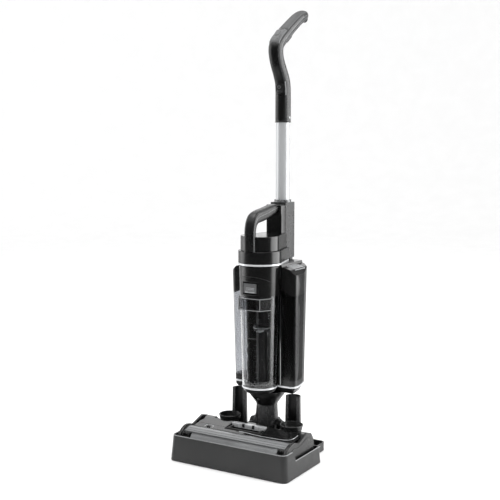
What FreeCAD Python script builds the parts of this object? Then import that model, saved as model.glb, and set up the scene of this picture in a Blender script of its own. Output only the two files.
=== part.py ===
import FreeCAD, Part
import os
import re
import Sketcher
from FreeCAD import Placement, Rotation, Vector

# Cordless wet and dry floor scrubber standing in its storage and self-cleaning dock.
# Frame: +Z up, +Y to the rear, +X across the machine, to the right for someone facing its front.
# Origin: on the floor, under the recline axis of the neck, the middle of the footprint.

os.makedirs("parts", exist_ok=True)
doc = FreeCAD.newDocument("FloorScrubber")

# ---------------------------------------------------------------- driving dimensions (mm)
DIMENSIONS = [
    # dock
    ("tray_half", 158), ("tray_front", -190), ("tray_back", -12), ("tray_base", 1.5),
    ("tray_floor", 5), ("tray_front_height", 61), ("tray_side_height", 38), ("tray_wall", 3), ("tray_draft", 4),
    ("rear_tray_half", 125), ("rear_tray_back", 70), ("rear_tray_height", 21.5),
    ("cup_side", 86), ("cup_y", -32), ("cup_radius", 27.4), ("cup_rim", 84),
    ("post_side", 75), ("post_y", -6), ("post_top", 146), ("post_radius", 18.5),
    # floor head
    ("roller_y", -134), ("roller_z", 39), ("nap_radius", 30.5), ("nap_half", 117),
    ("core_radius", 20), ("shaft_radius", 5), ("cap_radius", 27), ("pulley_radius", 11),
    ("cover_radius", 34), ("cover_half", 135.5), ("cover_front", -153.5), ("cover_back", -117.5),
    ("chassis_half", 140), ("chassis_base", 13), ("chassis_top", 60), ("chassis_wall", 3),
    ("bay_back", -97), ("notch_front", -61), ("tail_half", 42), ("tail_back", -24),
    ("shield_inner", 141), ("shield_outer", 147), ("shield_radius", 41),
    ("motor_y", -78), ("brush_motor_radius", 14),
    ("wheel_y", -38), ("wheel_radius", 19), ("wheel_inner", 46), ("wheel_outer", 57),
    ("axle_radius", 4), ("running_gap", 0.05), ("part_gap", 0.3),
    # neck
    ("pivot_z", 66), ("ear_inner", 29), ("ear_outer", 37), ("ear_radius", 15),
    ("barrel_radius", 21), ("pin_radius", 6), ("neck_bore", 17), ("neck_foot", 28),
    ("neck_top_radius", 25.5), ("neck_top", 116.5), ("funnel_radius", 46),
    # body
    ("body_base", 152), ("band_low", 166), ("band_high", 170), ("lobe_half", 84),
    ("lobe_front", -18), ("lobe_back", 78), ("lobe_taper", 1), ("body_top", 462),
    ("core_half", 46.5), ("core_back", 47.5), ("tank_y", -34), ("tank_low_radius", 42.3),
    ("tank_high_radius", 49.5), ("tank_gap", 0.9), ("tank_wall", 2.4), ("tank_split", 390),
    ("seam_low", 388), ("seam_high", 404), ("housing_radius", 52), ("housing_rear_half", 27.7),
    ("housing_back", 56), ("housing_low", 466), ("housing_high", 495), ("cover_top", 530),
    ("spine_half", 21), ("spine_front", 30), ("spine_split", 52), ("spine_back", 106),
    ("spine_top", 602), ("shell", 3), ("carry_half", 13),
    # handle
    ("pole_y", 74), ("pole_radius", 17), ("pole_low", 500), ("pole_high", 846),
    ("pole_visible_top", 794), ("power_z", 878), ("tip_y", 192),
]

sheet = doc.addObject("Spreadsheet::Sheet", "Dim")
for row, (alias, size) in enumerate(DIMENSIONS, start=1):
    sheet.set("A%d" % row, alias)
    sheet.set("B%d" % row, str(size))
    sheet.setAlias("B%d" % row, alias)
doc.recompute()
ALIASES = {alias for alias, size in DIMENSIONS}


# ---------------------------------------------------------------- helpers
def cell(text):
    """Turn 'tray_half - 3' into an expression on the sheet."""
    return re.sub(r"[a-z_]+", lambda m: "Dim." + m.group(0) if m.group(0) in ALIASES else m.group(0), str(text))


def value(text):
    return float(sheet.evalExpression(cell(text)))


def bind(obj, prop, text):
    obj.setExpression(prop, cell(text))


def place(obj, x="0", y="0", z="0"):
    for axis, text in (("x", x), ("y", y), ("z", z)):
        bind(obj, "Placement.Base." + axis, text)


def minus(text):
    return "-(%s)" % text


def block(name, x, y, z):
    """A box between three pairs of limits."""
    box = doc.addObject("Part::Box", name)
    for prop, (low, high) in (("Length", x), ("Width", y), ("Height", z)):
        bind(box, prop, "(%s) - (%s)" % (high, low))
    place(box, x[0], y[0], z[0])
    return box


TURNS = {
    "z": Rotation(),
    "x": Rotation(Vector(0, 1, 0), 90),
    "y": Rotation(Vector(1, 0, 0), -90),
}


def rod(name, radius, axis, low, high, across):
    """A cylinder along an axis, between two limits, centred on the other two coordinates."""
    cylinder = doc.addObject("Part::Cylinder", name)
    bind(cylinder, "Radius", radius)
    bind(cylinder, "Height", "(%s) - (%s)" % (high, low))
    cylinder.Placement = Placement(Vector(), TURNS[axis])
    spots = {"x": (low,) + tuple(across), "y": (across[0], low, across[1]), "z": tuple(across) + (low,)}
    place(cylinder, *spots[axis])
    return cylinder


def cone(name, low_radius, high_radius, low, high, x="0", y="0"):
    solid = doc.addObject("Part::Cone", name)
    bind(solid, "Radius1", low_radius)
    bind(solid, "Radius2", high_radius)
    bind(solid, "Height", "(%s) - (%s)" % (high, low))
    place(solid, x, y, low)
    return solid


def fuse(name, *shapes):
    union = doc.addObject("Part::MultiFuse", name)
    union.Shapes = list(shapes)
    return union


def cut(name, base, *tools):
    result = doc.addObject("Part::Cut", name)
    result.Base = base
    result.Tool = tools[0] if len(tools) == 1 else fuse(name + "_tools", *tools)
    return result


def common(name, *shapes):
    result = doc.addObject("Part::MultiCommon", name)
    result.Shapes = list(shapes)
    return result


def group(name, *shapes):
    """Several separate solids in one sub-part."""
    compound = doc.addObject("Part::Compound", name)
    compound.Links = list(shapes)
    return compound


def origin_plane(body, role):
    return next(item for item in body.Origin.OriginFeatures if item.Role == role)


def outline(body, name, role, points, lift="0"):
    """A closed polygon sketch whose every corner is held by the sheet."""
    sketch = body.newObject("Sketcher::SketchObject", name)
    sketch.AttachmentSupport = [(origin_plane(body, role), "")]
    sketch.MapMode = "FlatFace"
    bind(sketch, "AttachmentOffset.Base.z", lift)
    spots = [(value(across), value(up)) for across, up in points]
    count = len(points)
    for i in range(count):
        start = Vector(*spots[i], 0)
        end = Vector(*spots[(i + 1) % count], 0)
        sketch.addGeometry(Part.LineSegment(start, end))
    for i in range(count):
        sketch.addConstraint(Sketcher.Constraint("Coincident", i, 2, (i + 1) % count, 1))
    for i, (across, up) in enumerate(points):
        for kind, size, text in (("DistanceX", spots[i][0], across), ("DistanceY", spots[i][1], up)):
            index = sketch.addConstraint(Sketcher.Constraint(kind, -1, 1, i, 1, size))
            bind(sketch, "Constraints[%d]" % index, text)
    return sketch


NORMALS = {"XY_Plane": 2, "XZ_Plane": 1, "YZ_Plane": 0}


def prism(name, role, points, low, high, taper=None, rounds=()):
    """A padded polygon between two limits along its normal.

    rounds lists (radius, test) pairs: the edges along the pad whose first end passes the
    test, a function of a point, get that radius."""
    body = doc.addObject("PartDesign::Body", name)
    lift = minus(high) if role == "XZ_Plane" else low
    pad = body.newObject("PartDesign::Pad", name + "_pad")
    pad.Profile = outline(body, name + "_outline", role, points, lift)
    bind(pad, "Length", "(%s) - (%s)" % (high, low))
    if taper:
        bind(pad, "TaperAngle", taper)
    doc.recompute()
    axis = NORMALS[role]
    last = pad
    for number, (radius, test) in enumerate(rounds):
        names = []
        for index, edge in enumerate(last.Shape.Edges, start=1):
            ends = [vertex.Point for vertex in edge.Vertexes]
            if len(ends) < 2:
                continue
            span = ends[1] - ends[0]
            if abs(span[axis]) > 0.6 * span.Length and test(ends[0]):
                names.append("Edge%d" % index)
        fillet = body.newObject("PartDesign::Fillet", "%s_round_%d" % (name, number))
        fillet.Base = (last, names)
        bind(fillet, "Radius", radius)
        body.Tip = fillet
        doc.recompute()
        last = fillet
    return body


def turned(name, points, x="0", y="0"):
    """A body of revolution about a vertical axis, from (radius, height) points."""
    body = doc.addObject("PartDesign::Body", name)
    sketch = outline(body, name + "_outline", "XZ_Plane", points)
    turn = body.newObject("PartDesign::Revolution", name + "_turn")
    turn.Profile = sketch
    turn.ReferenceAxis = (sketch, ["V_Axis"])
    turn.Angle = 360
    place(body, x, y)
    return body


def mirrored(points):
    """Complete a half outline, given from front to back on the +X side."""
    left = [(minus(across), up) for across, up in reversed(points) if across != "0"]
    return points + left


def side_limits(sign, inner, outer):
    """Limits along X, in rising order, of a piece on one side."""
    return (inner, outer) if sign == "1" else (minus(outer), minus(inner))


SIDES = ("left", "right")
nodes = []


def keep(obj, label):
    """Register a finished sub-part under the name of its file."""
    obj.Label = label
    nodes.append(obj)
    return obj


# ---------------------------------------------------------------- dock
def make_dock_tray():
    def corner(point):
        return True

    low_wall = "tray_side_height"
    outer = prism("tray_outer", "XY_Plane",
                  [(minus("tray_half"), "tray_front"), ("tray_half", "tray_front"),
                   ("tray_half", "tray_back"), (minus("tray_half"), "tray_back")],
                  "tray_base", "tray_front_height", "-tray_draft", [("14", corner)])
    inset = "tray_half - tray_wall"
    inner = prism("tray_inner", "XY_Plane",
                  [(minus(inset), "tray_front + tray_wall"), (inset, "tray_front + tray_wall"),
                   (inset, "tray_back - tray_wall"), (minus(inset), "tray_back - tray_wall")],
                  "tray_floor", "tray_front_height + 1", "-tray_draft", [("11", corner)])
    step = prism("tray_step", "YZ_Plane",
                 [("tray_front + 40", "tray_front_height + 2"), ("tray_front + 51", low_wall),
                  ("0", low_wall), ("0", "tray_front_height + 2")],
                 "-tray_half - 2", "tray_half + 2")
    gateway = block("tray_gateway", (minus("rear_tray_half - 3"), "rear_tray_half - 3"),
                    ("tray_back - 12", "tray_back + 2"), ("tray_floor", "tray_front_height"))
    shell = cut("tray_shell", outer, inner, step, gateway)
    pads = []
    for side in SIDES:
        sign = "-1" if side == "left" else "1"
        limits = side_limits(sign, "wheel_inner - 3", "wheel_outer + 2")
        pads.append(block("wheel_pad_" + side, limits, ("-58", "-20"),
                          ("tray_floor - 1", "roller_z - nap_radius - part_gap")))
    ribs = []
    for number in range(4):
        x = -90 + 60 * number
        ribs.append(block("well_rib_%d" % number, (x - 1.5, x + 1.5), ("-165", "-104"),
                          ("tray_floor - 1", "tray_floor + 1.5")))
    keep(fuse("tray", shell, make_rear_tray(), *(pads + ribs)), "dock_tray")


def make_rear_tray():
    """The lower, narrower bay behind the main tray."""

    def back_corner(point):
        return point.y > 0

    outer = prism("rear_outer", "XY_Plane",
                  [(minus("rear_tray_half"), "tray_back"), ("rear_tray_half", "tray_back"),
                   ("rear_tray_half", "rear_tray_back"), (minus("rear_tray_half"), "rear_tray_back")],
                  "tray_base", "rear_tray_height", None, [("12", back_corner)])
    half = "rear_tray_half - tray_wall"
    back = "rear_tray_back - tray_wall"
    inner = prism("rear_inner", "XY_Plane",
                  [(minus(half), "tray_back - 1"), (half, "tray_back - 1"), (half, back), (minus(half), back)],
                  "tray_floor", "rear_tray_height + 1", None, [("9", back_corner)])
    return cut("rear_tray", outer, inner)


def make_holder(side):
    """A flared cup and the half-pipe post behind it, moulded as one piece."""
    sign = "-1" if side == "left" else "1"
    cup_x = "%s * cup_side" % sign
    post_x = "%s * post_side" % sign
    bowl = turned("bowl_" + side,
                  [("0", "tray_floor"), ("13", "tray_floor"), ("10", "53"), ("17", "61"), ("24", "71"),
                   ("cup_radius", "cup_rim"), ("cup_radius - 2.5", "cup_rim"), ("21.5", "72.5"),
                   ("15", "64.5"), ("0", "62")], cup_x, "cup_y")
    outer = cone("post_outer_" + side, "post_radius + 2.5", "post_radius", "tray_floor", "post_top",
                 post_x, "post_y")
    inner = cone("post_inner_" + side, "post_radius - 0.5", "post_radius - 3", "tray_floor", "post_top",
                 post_x, "post_y")
    front = block("post_front_" + side, ("%s - 30" % post_x, "%s + 30" % post_x),
                  ("post_y - 30", "post_y - 3"), ("0", "post_top + 1"))
    post = cut("post_" + side, outer, inner, front)
    limits = side_limits(sign, "60", "104")
    foot = block("holder_foot_" + side, limits, ("-30", "13"), ("tray_floor", "tray_floor + 4"))
    keep(fuse("holder_" + side + "_body", bowl, post, foot), "holder_" + side)


def make_charge_block():
    """A plastic block with two sprung contacts in front and the supply socket behind."""
    body = block("charge_body", ("-22", "22"), ("-19.5", "24"), ("tray_floor", "34"))
    jack = rod("jack_bore", "2.75", "y", "14", "25", ("0", "28"))
    parts = [cut("charge_cut", body, jack)]
    for name, x in (("left", "-9"), ("right", "9")):
        parts.append(rod("contact_" + name, "3", "y", "-23.4", "-19.5", (x, "28")))
    keep(fuse("charge_raw", *parts), "charge_block")


def make_dock_feet():
    spots = [("-135", "-170"), ("135", "-170"), ("-135", "-35"), ("135", "-35"), ("-105", "50"), ("105", "50")]
    feet = [rod("foot_%d" % i, "9", "z", "0", "tray_base", spot) for i, spot in enumerate(spots)]
    keep(group("feet", *feet), "dock_feet")


# ---------------------------------------------------------------- floor head
def chassis_plan(inset):
    """Half plan of the chassis tub behind the roller bay, drawn in by inset."""
    side = "chassis_half - %s" % inset
    return mirrored([
        ("0", "bay_back + %s" % inset), (side, "bay_back + %s" % inset), (side, "-41"),
        ("chassis_half - 7", "-35 - %s" % inset), ("114 + %s" % inset, "-35 - %s" % inset),
        ("114 + %s" % inset, "notch_front - %s" % inset), ("tail_half - %s" % inset, "notch_front - %s" % inset),
        ("tail_half - %s" % inset, "tail_back - %s" % inset), ("0", "tail_back - %s" % inset)])


def make_head_base():
    tub = prism("tub_outer", "XY_Plane", chassis_plan("0"), "chassis_base", "chassis_top")
    hollow = prism("tub_inner", "XY_Plane", chassis_plan("chassis_wall"), "chassis_base + chassis_wall",
                   "chassis_top + 1")
    mouth = block("suction_mouth", ("-108", "108"), ("-92", "-82"), ("chassis_base - 1", "chassis_base + 4"))
    window = block("belt_window", ("116.5", "130"), ("bay_back - 1", "bay_back + 4"), ("24", "54"))
    axle_hole = rod("axle_hole", "axle_radius", "x", "-tail_half - 1", "tail_half + 1",
                    ("wheel_y", "roller_z - nap_radius + wheel_radius"))
    shell = cut("tub", tub, hollow, mouth, window, axle_hole)
    plates = []
    ears = []
    for side in SIDES:
        sign = "-1" if side == "left" else "1"
        limits = side_limits(sign, "chassis_half - 4", "chassis_half")
        arch = rod("plate_arch_" + side, "38", "x", limits[0], limits[1], ("roller_y + 1", "roller_z - 3"))
        web = block("plate_web_" + side, limits, ("roller_y + 1", "bay_back + 1"), ("chassis_base", "60"))
        under = block("plate_under_" + side, ("%s - 1" % limits[0], "%s + 1" % limits[1]),
                      ("-180", "-90"), ("-10", "chassis_base"))
        hole = rod("plate_hole_" + side, "shaft_radius + running_gap", "x", "%s - 1" % limits[0],
                   "%s + 1" % limits[1], ("roller_y", "roller_z"))
        plates.append(cut("plate_" + side, fuse("plate_raw_" + side, arch, web), under, hole))
        ear_limits = side_limits(sign, "ear_inner", "ear_outer")
        eye = rod("ear_eye_" + side, "ear_radius", "x", ear_limits[0], ear_limits[1], ("0", "pivot_z"))
        arm = block("ear_arm_" + side, ear_limits, ("tail_back - 3", "0"), ("45", "72"))
        ear_hole = rod("ear_hole_" + side, "pin_radius", "x", "%s - 1" % ear_limits[0],
                       "%s + 1" % ear_limits[1], ("0", "pivot_z"))
        ears.append(cut("ear_" + side, fuse("ear_raw_" + side, eye, arm), ear_hole))
    keep(fuse("head_base_body", shell, *(plates + ears)), "head_base")


def top_profile(drop):
    """Side profile of the head's top cover, lowered by drop."""
    return [("-117", "50"), ("-117", "70 - %s" % drop), ("-64", "77.5 - %s" % drop),
            ("-50", "78 - %s" % drop), ("-40", "70 - %s" % drop), ("-35", "chassis_top"), ("-35", "50")]


def top_plan(inset):
    """Half plan of the head's top cover, drawn in by inset."""
    return mirrored([
        ("0", "-117 + %s" % inset), ("135 - %s" % inset, "-117 + %s" % inset),
        ("135.5 - %s" % inset, "-96"), ("chassis_half - %s" % inset, "-72"),
        ("chassis_half - %s" % inset, "-41"), ("133", "-35 - %s" % inset), ("114 + %s" % inset, "-35 - %s" % inset),
        ("114 + %s" % inset, "notch_front - %s" % inset), ("tail_half - %s" % inset, "notch_front - %s" % inset),
        ("tail_half - %s" % inset, "-35 - %s" % inset), ("0", "-35 - %s" % inset)])


def make_head_top_cover():
    solid = common("top_solid",
                   prism("top_plan_outer", "XY_Plane", top_plan("0"), "chassis_top", "90"),
                   prism("top_side_outer", "YZ_Plane", top_profile("0"), "-145", "145"))
    hollow = common("top_hollow",
                    prism("top_plan_inner", "XY_Plane", top_plan("chassis_wall"), "chassis_top - 1", "90"),
                    prism("top_side_inner", "YZ_Plane", top_profile("chassis_wall"), "-145", "145"))
    pan = block("recess_pan", ("-58", "44"), ("-108", "-60"), ("62", "85"))
    recess = block("recess", ("-55", "41"), ("-105", "-63"), ("66", "90"))
    pin_hole = rod("lever_pin_hole", "1.5 + running_gap", "x", "-57", "43", ("-99", "71"))
    latch_hole = block("latch_hole", ("-102", "-92"), ("-114", "-107"), ("62", "80"))
    clear = cut("top_hollow_cut", hollow, pan)
    roller_clear = rod("roller_clear", "nap_radius + 1.5", "x", "-chassis_half", "chassis_half",
                       ("roller_y", "roller_z"))
    keep(cut("top_cover", solid, clear, recess, pin_hole, latch_hole, roller_clear), "head_top_cover")


def make_side_shield(side):
    sign = "-1" if side == "left" else "1"
    limits = side_limits(sign, "shield_inner", "shield_outer")
    arch = rod("shield_arch_" + side, "shield_radius", "x", limits[0], limits[1], ("roller_y + 1", "35"))
    rear = prism("shield_rear_" + side, "YZ_Plane",
                 [("roller_y - 38", "20"), ("roller_y - 35", "15"), ("-37", "15"), ("-34", "43"), ("-38", "63"),
                  ("-49", "78"), ("-68", "83"), ("-93", "75"), ("-108", "70"), ("roller_y + 1", "70"),
                  ("roller_y - 38", "40")], limits[0], limits[1])
    under = block("shield_under_" + side, ("%s - 1" % limits[0], "%s + 1" % limits[1]),
                  ("-190", "-80"), ("-20", "15"))
    keep(cut("shield_" + side, fuse("shield_raw_" + side, arch, rear), under), "side_shield_" + side)


def make_roller_cover():
    limits = (minus("cover_half"), "cover_half")
    tube = cut("cover_tube",
               rod("cover_outer", "cover_radius", "x", limits[0], limits[1], ("roller_y", "roller_z")),
               rod("cover_inner", "cover_radius - 2", "x", "-cover_half - 1", "cover_half + 1",
                   ("roller_y", "roller_z")))
    slab = block("cover_slab", limits, ("cover_front", "cover_back"), ("60", "80"))
    lip = rod("cover_lip", "1.9", "x", limits[0], limits[1], ("cover_front + 0.6", "66.7"))
    keep(fuse("roller_cover_body", common("cover_shell", tube, slab), lip), "roller_cover")


def make_roller():
    """The drum with its shaft, end caps and drive pulley, and the microfibre nap round it."""
    ends = ("-chassis_half + 0.5", "chassis_half - 0.5")
    axis = ("roller_y", "roller_z")
    steps = [("drum", "core_radius", "-nap_half", "nap_half"), ("roller_shaft", "shaft_radius") + ends,
             ("cap_left", "cap_radius", "-133", "-nap_half"), ("cap_right", "cap_radius", "129", "134"),
             ("roller_pulley", "pulley_radius", "118.5", "128")]
    solids = [rod(name, radius, "x", low, high, axis) for name, radius, low, high in steps]
    keep(fuse("roller_core_body", *solids), "roller_core")
    nap = cut("nap", rod("nap_outer", "nap_radius", "x", "-nap_half", "nap_half", axis),
              rod("nap_inner", "core_radius", "x", "-nap_half - 1", "nap_half + 1", axis))
    keep(nap, "roller_nap")


def make_brush_drive():
    axis = ("motor_y", "roller_z")
    can = rod("motor_can", "brush_motor_radius", "x", "30", "100", axis)
    stub = rod("motor_stub", "3", "x", "99", "129", axis)
    keep(fuse("brush_motor_body", can, stub), "brush_motor")
    disc = rod("motor_pulley_disc", "pulley_radius", "x", "118.5", "128", axis)
    keep(cut("motor_pulley_cut", disc, rod("motor_pulley_bore", "3 + running_gap", "x", "118", "129", axis)),
         "motor_pulley")
    loops = []
    for name, grow, low, high in (("outer", "2.3", "119.5", "127"), ("inner", "part_gap", "118", "128.5")):
        radius = "pulley_radius + %s" % grow
        front = rod("belt_front_" + name, radius, "x", low, high, ("roller_y", "roller_z"))
        back = rod("belt_back_" + name, radius, "x", low, high, axis)
        span = block("belt_span_" + name, (low, high), ("roller_y", "motor_y"),
                     ("roller_z - (%s)" % radius, "roller_z + %s" % radius))
        loops.append(fuse("belt_" + name, front, back, span))
    keep(cut("belt", *loops), "drive_belt")


def make_wheels():
    """Two wheels, each with a recessed rim face, on one fixed axle."""
    height = "roller_z - nap_radius + wheel_radius"
    for side in SIDES:
        sign = "-1" if side == "left" else "1"
        low, high = side_limits(sign, "wheel_inner", "wheel_outer")
        face = side_limits(sign, "wheel_outer - 2", "wheel_outer + 1")
        wheel = rod("wheel_disc_" + side, "wheel_radius", "x", low, high, ("wheel_y", height))
        bore = rod("wheel_bore_" + side, "axle_radius + running_gap", "x", "%s - 1" % low, "%s + 1" % high,
                   ("wheel_y", height))
        dish = cut("wheel_dish_" + side, rod("dish_" + side, "wheel_radius - 5", "x", *face, ("wheel_y", height)),
                   rod("dish_hub_" + side, "7", "x", *face, ("wheel_y", height)))
        keep(cut("wheel_cut_" + side, wheel, bore, dish), "wheel_" + side)
    keep(rod("axle", "axle_radius", "x", "-wheel_outer - 1", "wheel_outer + 1", ("wheel_y", height)),
         "wheel_axle")


def make_head_fittings():
    keep(block("squeegee_strip", ("-112", "112"), ("-95", "-92.5"), ("9.5", "chassis_base")), "squeegee")
    keep(rod("spray_tube", "3", "x", "-110", "110", ("-103", "59")), "spray_bar")
    barrel = rod("lever_barrel", "3", "x", "-54.5", "40.5", ("-99", "71"))
    bar = block("lever_bar", ("-52", "38"), ("-77", "-66"), ("69.5", "78.5"))
    arms = [block("lever_arm_%d" % i, (x, x + 6), ("-99", "-70"), ("69.5", "73.5"))
            for i, x in enumerate((-52, 32))]
    trunnion = rod("lever_trunnion", "1.5", "x", "-56.8", "42.8", ("-99", "71"))
    keep(fuse("lever", barrel, bar, trunnion, *arms), "cover_lever")
    keep(block("latch_stem", ("-101.6", "-92.4"), ("-113.6", "-107.4"), ("64", "71.8")), "cover_latch")
    spots = [("-125", "-70"), ("125", "-70"), ("-62", "-72"), ("62", "-72"), ("-32", "-34"), ("32", "-34")]
    screws = [rod("head_screw_%d" % i, "3.4", "z", "chassis_base - 1.4", "chassis_base", spot)
              for i, spot in enumerate(spots)]
    keep(group("screws", *screws), "head_screws")


# ---------------------------------------------------------------- neck
def make_neck():
    barrel = rod("yoke_barrel", "barrel_radius", "x", "-ear_inner + 0.8", "ear_inner - 0.8", ("0", "pivot_z"))
    collar = rod("yoke_collar", "neck_foot", "z", "pivot_z", "82", ("0", "0"))
    bore = rod("yoke_bore", "neck_bore", "z", "pivot_z", "83", ("0", "0"))
    pin_bore = rod("yoke_pin_bore", "pin_radius + running_gap", "x", "-30", "30", ("0", "pivot_z"))
    above = block("yoke_above", ("-40", "40"), ("-40", "40"), ("82", "90"))
    keep(cut("yoke", fuse("yoke_raw", barrel, collar), bore, pin_bore, above), "neck_yoke")
    pins = []
    for side in SIDES:
        sign = "-1" if side == "left" else "1"
        low, high = side_limits(sign, "20", "ear_outer")
        cap_low, cap_high = side_limits(sign, "ear_outer", "ear_outer + 6")
        pins.append(fuse("pivot_pin_" + side,
                         rod("pin_shank_" + side, "pin_radius", "x", low, high, ("0", "pivot_z")),
                         rod("pin_cap_" + side, "12", "x", cap_low, cap_high, ("0", "pivot_z"))))
    keep(group("pins", *pins), "pivot_pins")
    keep(turned("neck_turned", [("neck_bore", "82"), ("neck_foot", "82"), ("neck_foot - 0.6", "90"),
                                ("neck_top_radius + 0.4", "112"), ("neck_top_radius", "neck_top"),
                                ("neck_bore", "neck_top")]), "neck_tube")
    spigot = "neck_bore - running_gap"
    keep(turned("funnel_turned", [("14", "96"), (spigot, "96"), (spigot, "117"), ("26", "117"),
                                  ("28", "121"), ("35", "131"), ("43", "142"),
                                  ("funnel_radius", "body_base"), ("funnel_radius - 3", "body_base"),
                                  ("40", "143"), ("32", "132.5"), ("18", "124"), ("14", "117")]),
         "neck_funnel")


# ---------------------------------------------------------------- body
def lobe_plan(inset):
    """Half plan of the water tank lobes at their foot, drawn in by inset."""
    return mirrored([
        ("0", "lobe_front + %s" % inset), ("lobe_half - %s" % inset, "lobe_front + %s" % inset),
        ("lobe_half - %s" % inset, "6"), ("lobe_half - 4 - %s" % inset, "30"),
        ("lobe_half - 12 - %s" % inset, "56 - %s / 2" % inset), ("56 - %s / 2" % inset, "lobe_back - 4 - %s" % inset),
        ("0", "lobe_back - %s" % inset)])


def front_corner(point):
    return point.y < 0 and abs(point.x) > 40


def back_corner(point):
    return point.y > 20 and abs(point.x) > 30


def lobe_volume(name, inset, low, high):
    """The two lobes and the bridge behind them, widening upwards, over the given heights."""
    full = prism(name + "_full", "XY_Plane", lobe_plan(inset), "band_high", "body_top", "lobe_taper",
                 [("12 - %s" % inset, front_corner), ("18", back_corner)])
    slab = block(name + "_slab", ("-120", "120"), ("-60", "120"), (low, high))
    return common(name, full, slab)


def tank_clearance(name, grow, low, high):
    """A cone round the front tank, grown by a gap."""
    return cone(name, "tank_low_radius + %s" % grow, "tank_high_radius + %s" % grow, low, high, "0", "tank_y")


def seam_prism(name, drop):
    """Everything under the sloping seam between the water tank and the upper shell."""
    return prism(name, "XZ_Plane",
                 mirrored([("0", "100"), ("110", "100"), ("110", "seam_low - %s" % drop),
                           ("78", "seam_low - %s" % drop), ("core_half", "seam_high - %s" % drop),
                           ("0", "seam_high - %s" % drop)]), "-70", "130")


def make_body_base():
    disc = prism("base_disc", "XY_Plane", lobe_plan("2.6"), "band_low", "band_high", None,
                 [("9", front_corner), ("16", back_corner)])
    bowl = common("base_bowl",
                  prism("bowl_slope", "XY_Plane", lobe_plan("8"), "body_base", "band_low", "28"),
                  prism("bowl_sides", "XY_Plane", lobe_plan("1"), "body_base", "band_low", None,
                        [("11", front_corner), ("17", back_corner)]))
    clear = rod("base_clear", "tank_low_radius + tank_gap + 0.8", "z", "body_base - 1", "band_high + 1",
                ("0", "tank_y"))
    duct = rod("base_duct", "12", "z", "body_base - 1", "band_high + 1", ("0", "25"))
    keep(cut("base", fuse("base_raw", disc, bowl), clear, duct), "body_base")
    ring = cut("band_ring",
               prism("band_outer", "XY_Plane", lobe_plan("-0.8"), "band_low", "band_high", None,
                     [("12.8", front_corner), ("18.8", back_corner)]),
               prism("band_inner", "XY_Plane", lobe_plan("2.6"), "band_low - 1", "band_high + 1", None,
                     [("9", front_corner), ("16", back_corner)]),
               rod("band_clear", "tank_low_radius + tank_gap + 0.8", "z", "band_low - 1", "band_high + 1",
                   ("0", "tank_y")))
    keep(ring, "base_trim_band")


def make_body_core():
    column = block("core_column", (minus("core_half"), "core_half"), ("lobe_front - 1.5", "core_back"),
                   ("band_high", "body_top"))
    clear = tank_clearance("core_clear", "tank_gap", "band_high - 1", "body_top + 1")
    bay = block("core_bay", (minus("core_half - 3"), "core_half - 3"), ("22", "core_back + 1"),
                ("176", "body_top - 8"))
    keep(cut("core", column, clear, bay), "body_core")
    keep(block("core_cover_plate", (minus("core_half - 3"), "core_half - 3"), ("core_back - 2.5", "core_back"),
               ("176", "body_top - 8")), "core_back_cover")
    keep(block("board", ("-30", "30"), ("24", "26"), ("290", "420")), "control_board")
    pump = rod("pump_can", "10", "z", "186", "226", ("20", "33"))
    keep(fuse("pump", pump, rod("pump_nozzle", "3", "z", "226", "240", ("20", "33"))), "water_pump")
    keep(cut("duct", rod("duct_outer", "10", "z", "176", "286", ("-18", "33")),
             rod("duct_inner", "8", "z", "175", "287", ("-18", "33"))), "suction_duct")


def make_clean_tank():
    gap = "core_half + 0.5"
    outer = cut("clean_outer",
                common("clean_outer_trim", lobe_volume("clean_lobe", "0", "band_high + 0.3", "seam_high"),
                       seam_prism("clean_seam", "0")),
                block("clean_channel", (minus(gap), gap), ("-60", "core_back + 0.5"), ("100", "body_top")))
    wide = "core_half + 0.5 + tank_wall"
    inner = cut("clean_inner",
                common("clean_inner_trim", lobe_volume("clean_void", "tank_wall", "184", "seam_high"),
                       seam_prism("clean_seam_inner", "tank_wall")),
                block("clean_channel_inner", (minus(wide), wide), ("-60", "core_back + 0.5 + tank_wall"),
                      ("100", "body_top")))
    foot_slab = block("clean_foot_slab", ("-120", "120"), ("-60", "120"), ("band_high", "184"))
    keep(cut("clean_walls", cut("clean_whole", outer, inner), foot_slab), "clean_tank")
    keep(common("clean_foot", outer, foot_slab), "clean_tank_foot")


def make_upper_shell():
    gap = "core_half + 0.3"
    shoulders = prism("shoulder_line", "XZ_Plane",
                      mirrored([("0", "370"), ("110", "370"), ("110", "424"), ("85", "440"), ("74", "451"),
                                ("53", "456"), ("51.5", "body_top"), ("0", "body_top")]), "-70", "130")
    outer = cut("upper_outer",
                common("upper_trim", lobe_volume("upper_lobe", "0", "seam_low + 0.3", "body_top"), shoulders),
                seam_prism("upper_seam", "-0.4"))
    ceiling = prism("shoulder_ceiling", "XZ_Plane",
                    mirrored([("0", "370"), ("110", "370"), ("110", "421"), ("84", "437"), ("73", "448"),
                              ("0", "453")]), "-70", "130")
    inner = common("upper_inner", lobe_volume("upper_void", "shell", "seam_low - 1", "body_top - 4"), ceiling)
    wall = block("upper_wall", (minus("core_half + 3"), "core_half + 3"), ("-60", "core_back + 3"),
                 ("370", "body_top + 1"))
    channel = block("upper_channel", (minus(gap), gap), ("-60", "core_back + 0.3"), ("370", "body_top + 1"))
    clear = tank_clearance("upper_clear", "tank_gap", "band_high - 1", "body_top + 1")
    slots = []
    for side in SIDES:
        sign = "-1" if side == "left" else "1"
        limits = side_limits(sign, "56", "76")
        for number in range(9):
            y = 2 + 5 * number
            slots.append(block("grille_%s_%d" % (side, number), limits, (y, y + 2), ("438", "body_top")))
    keep(cut("upper", outer, cut("upper_inner_open", inner, wall), channel, clear, *slots), "body_upper_shell")


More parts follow.
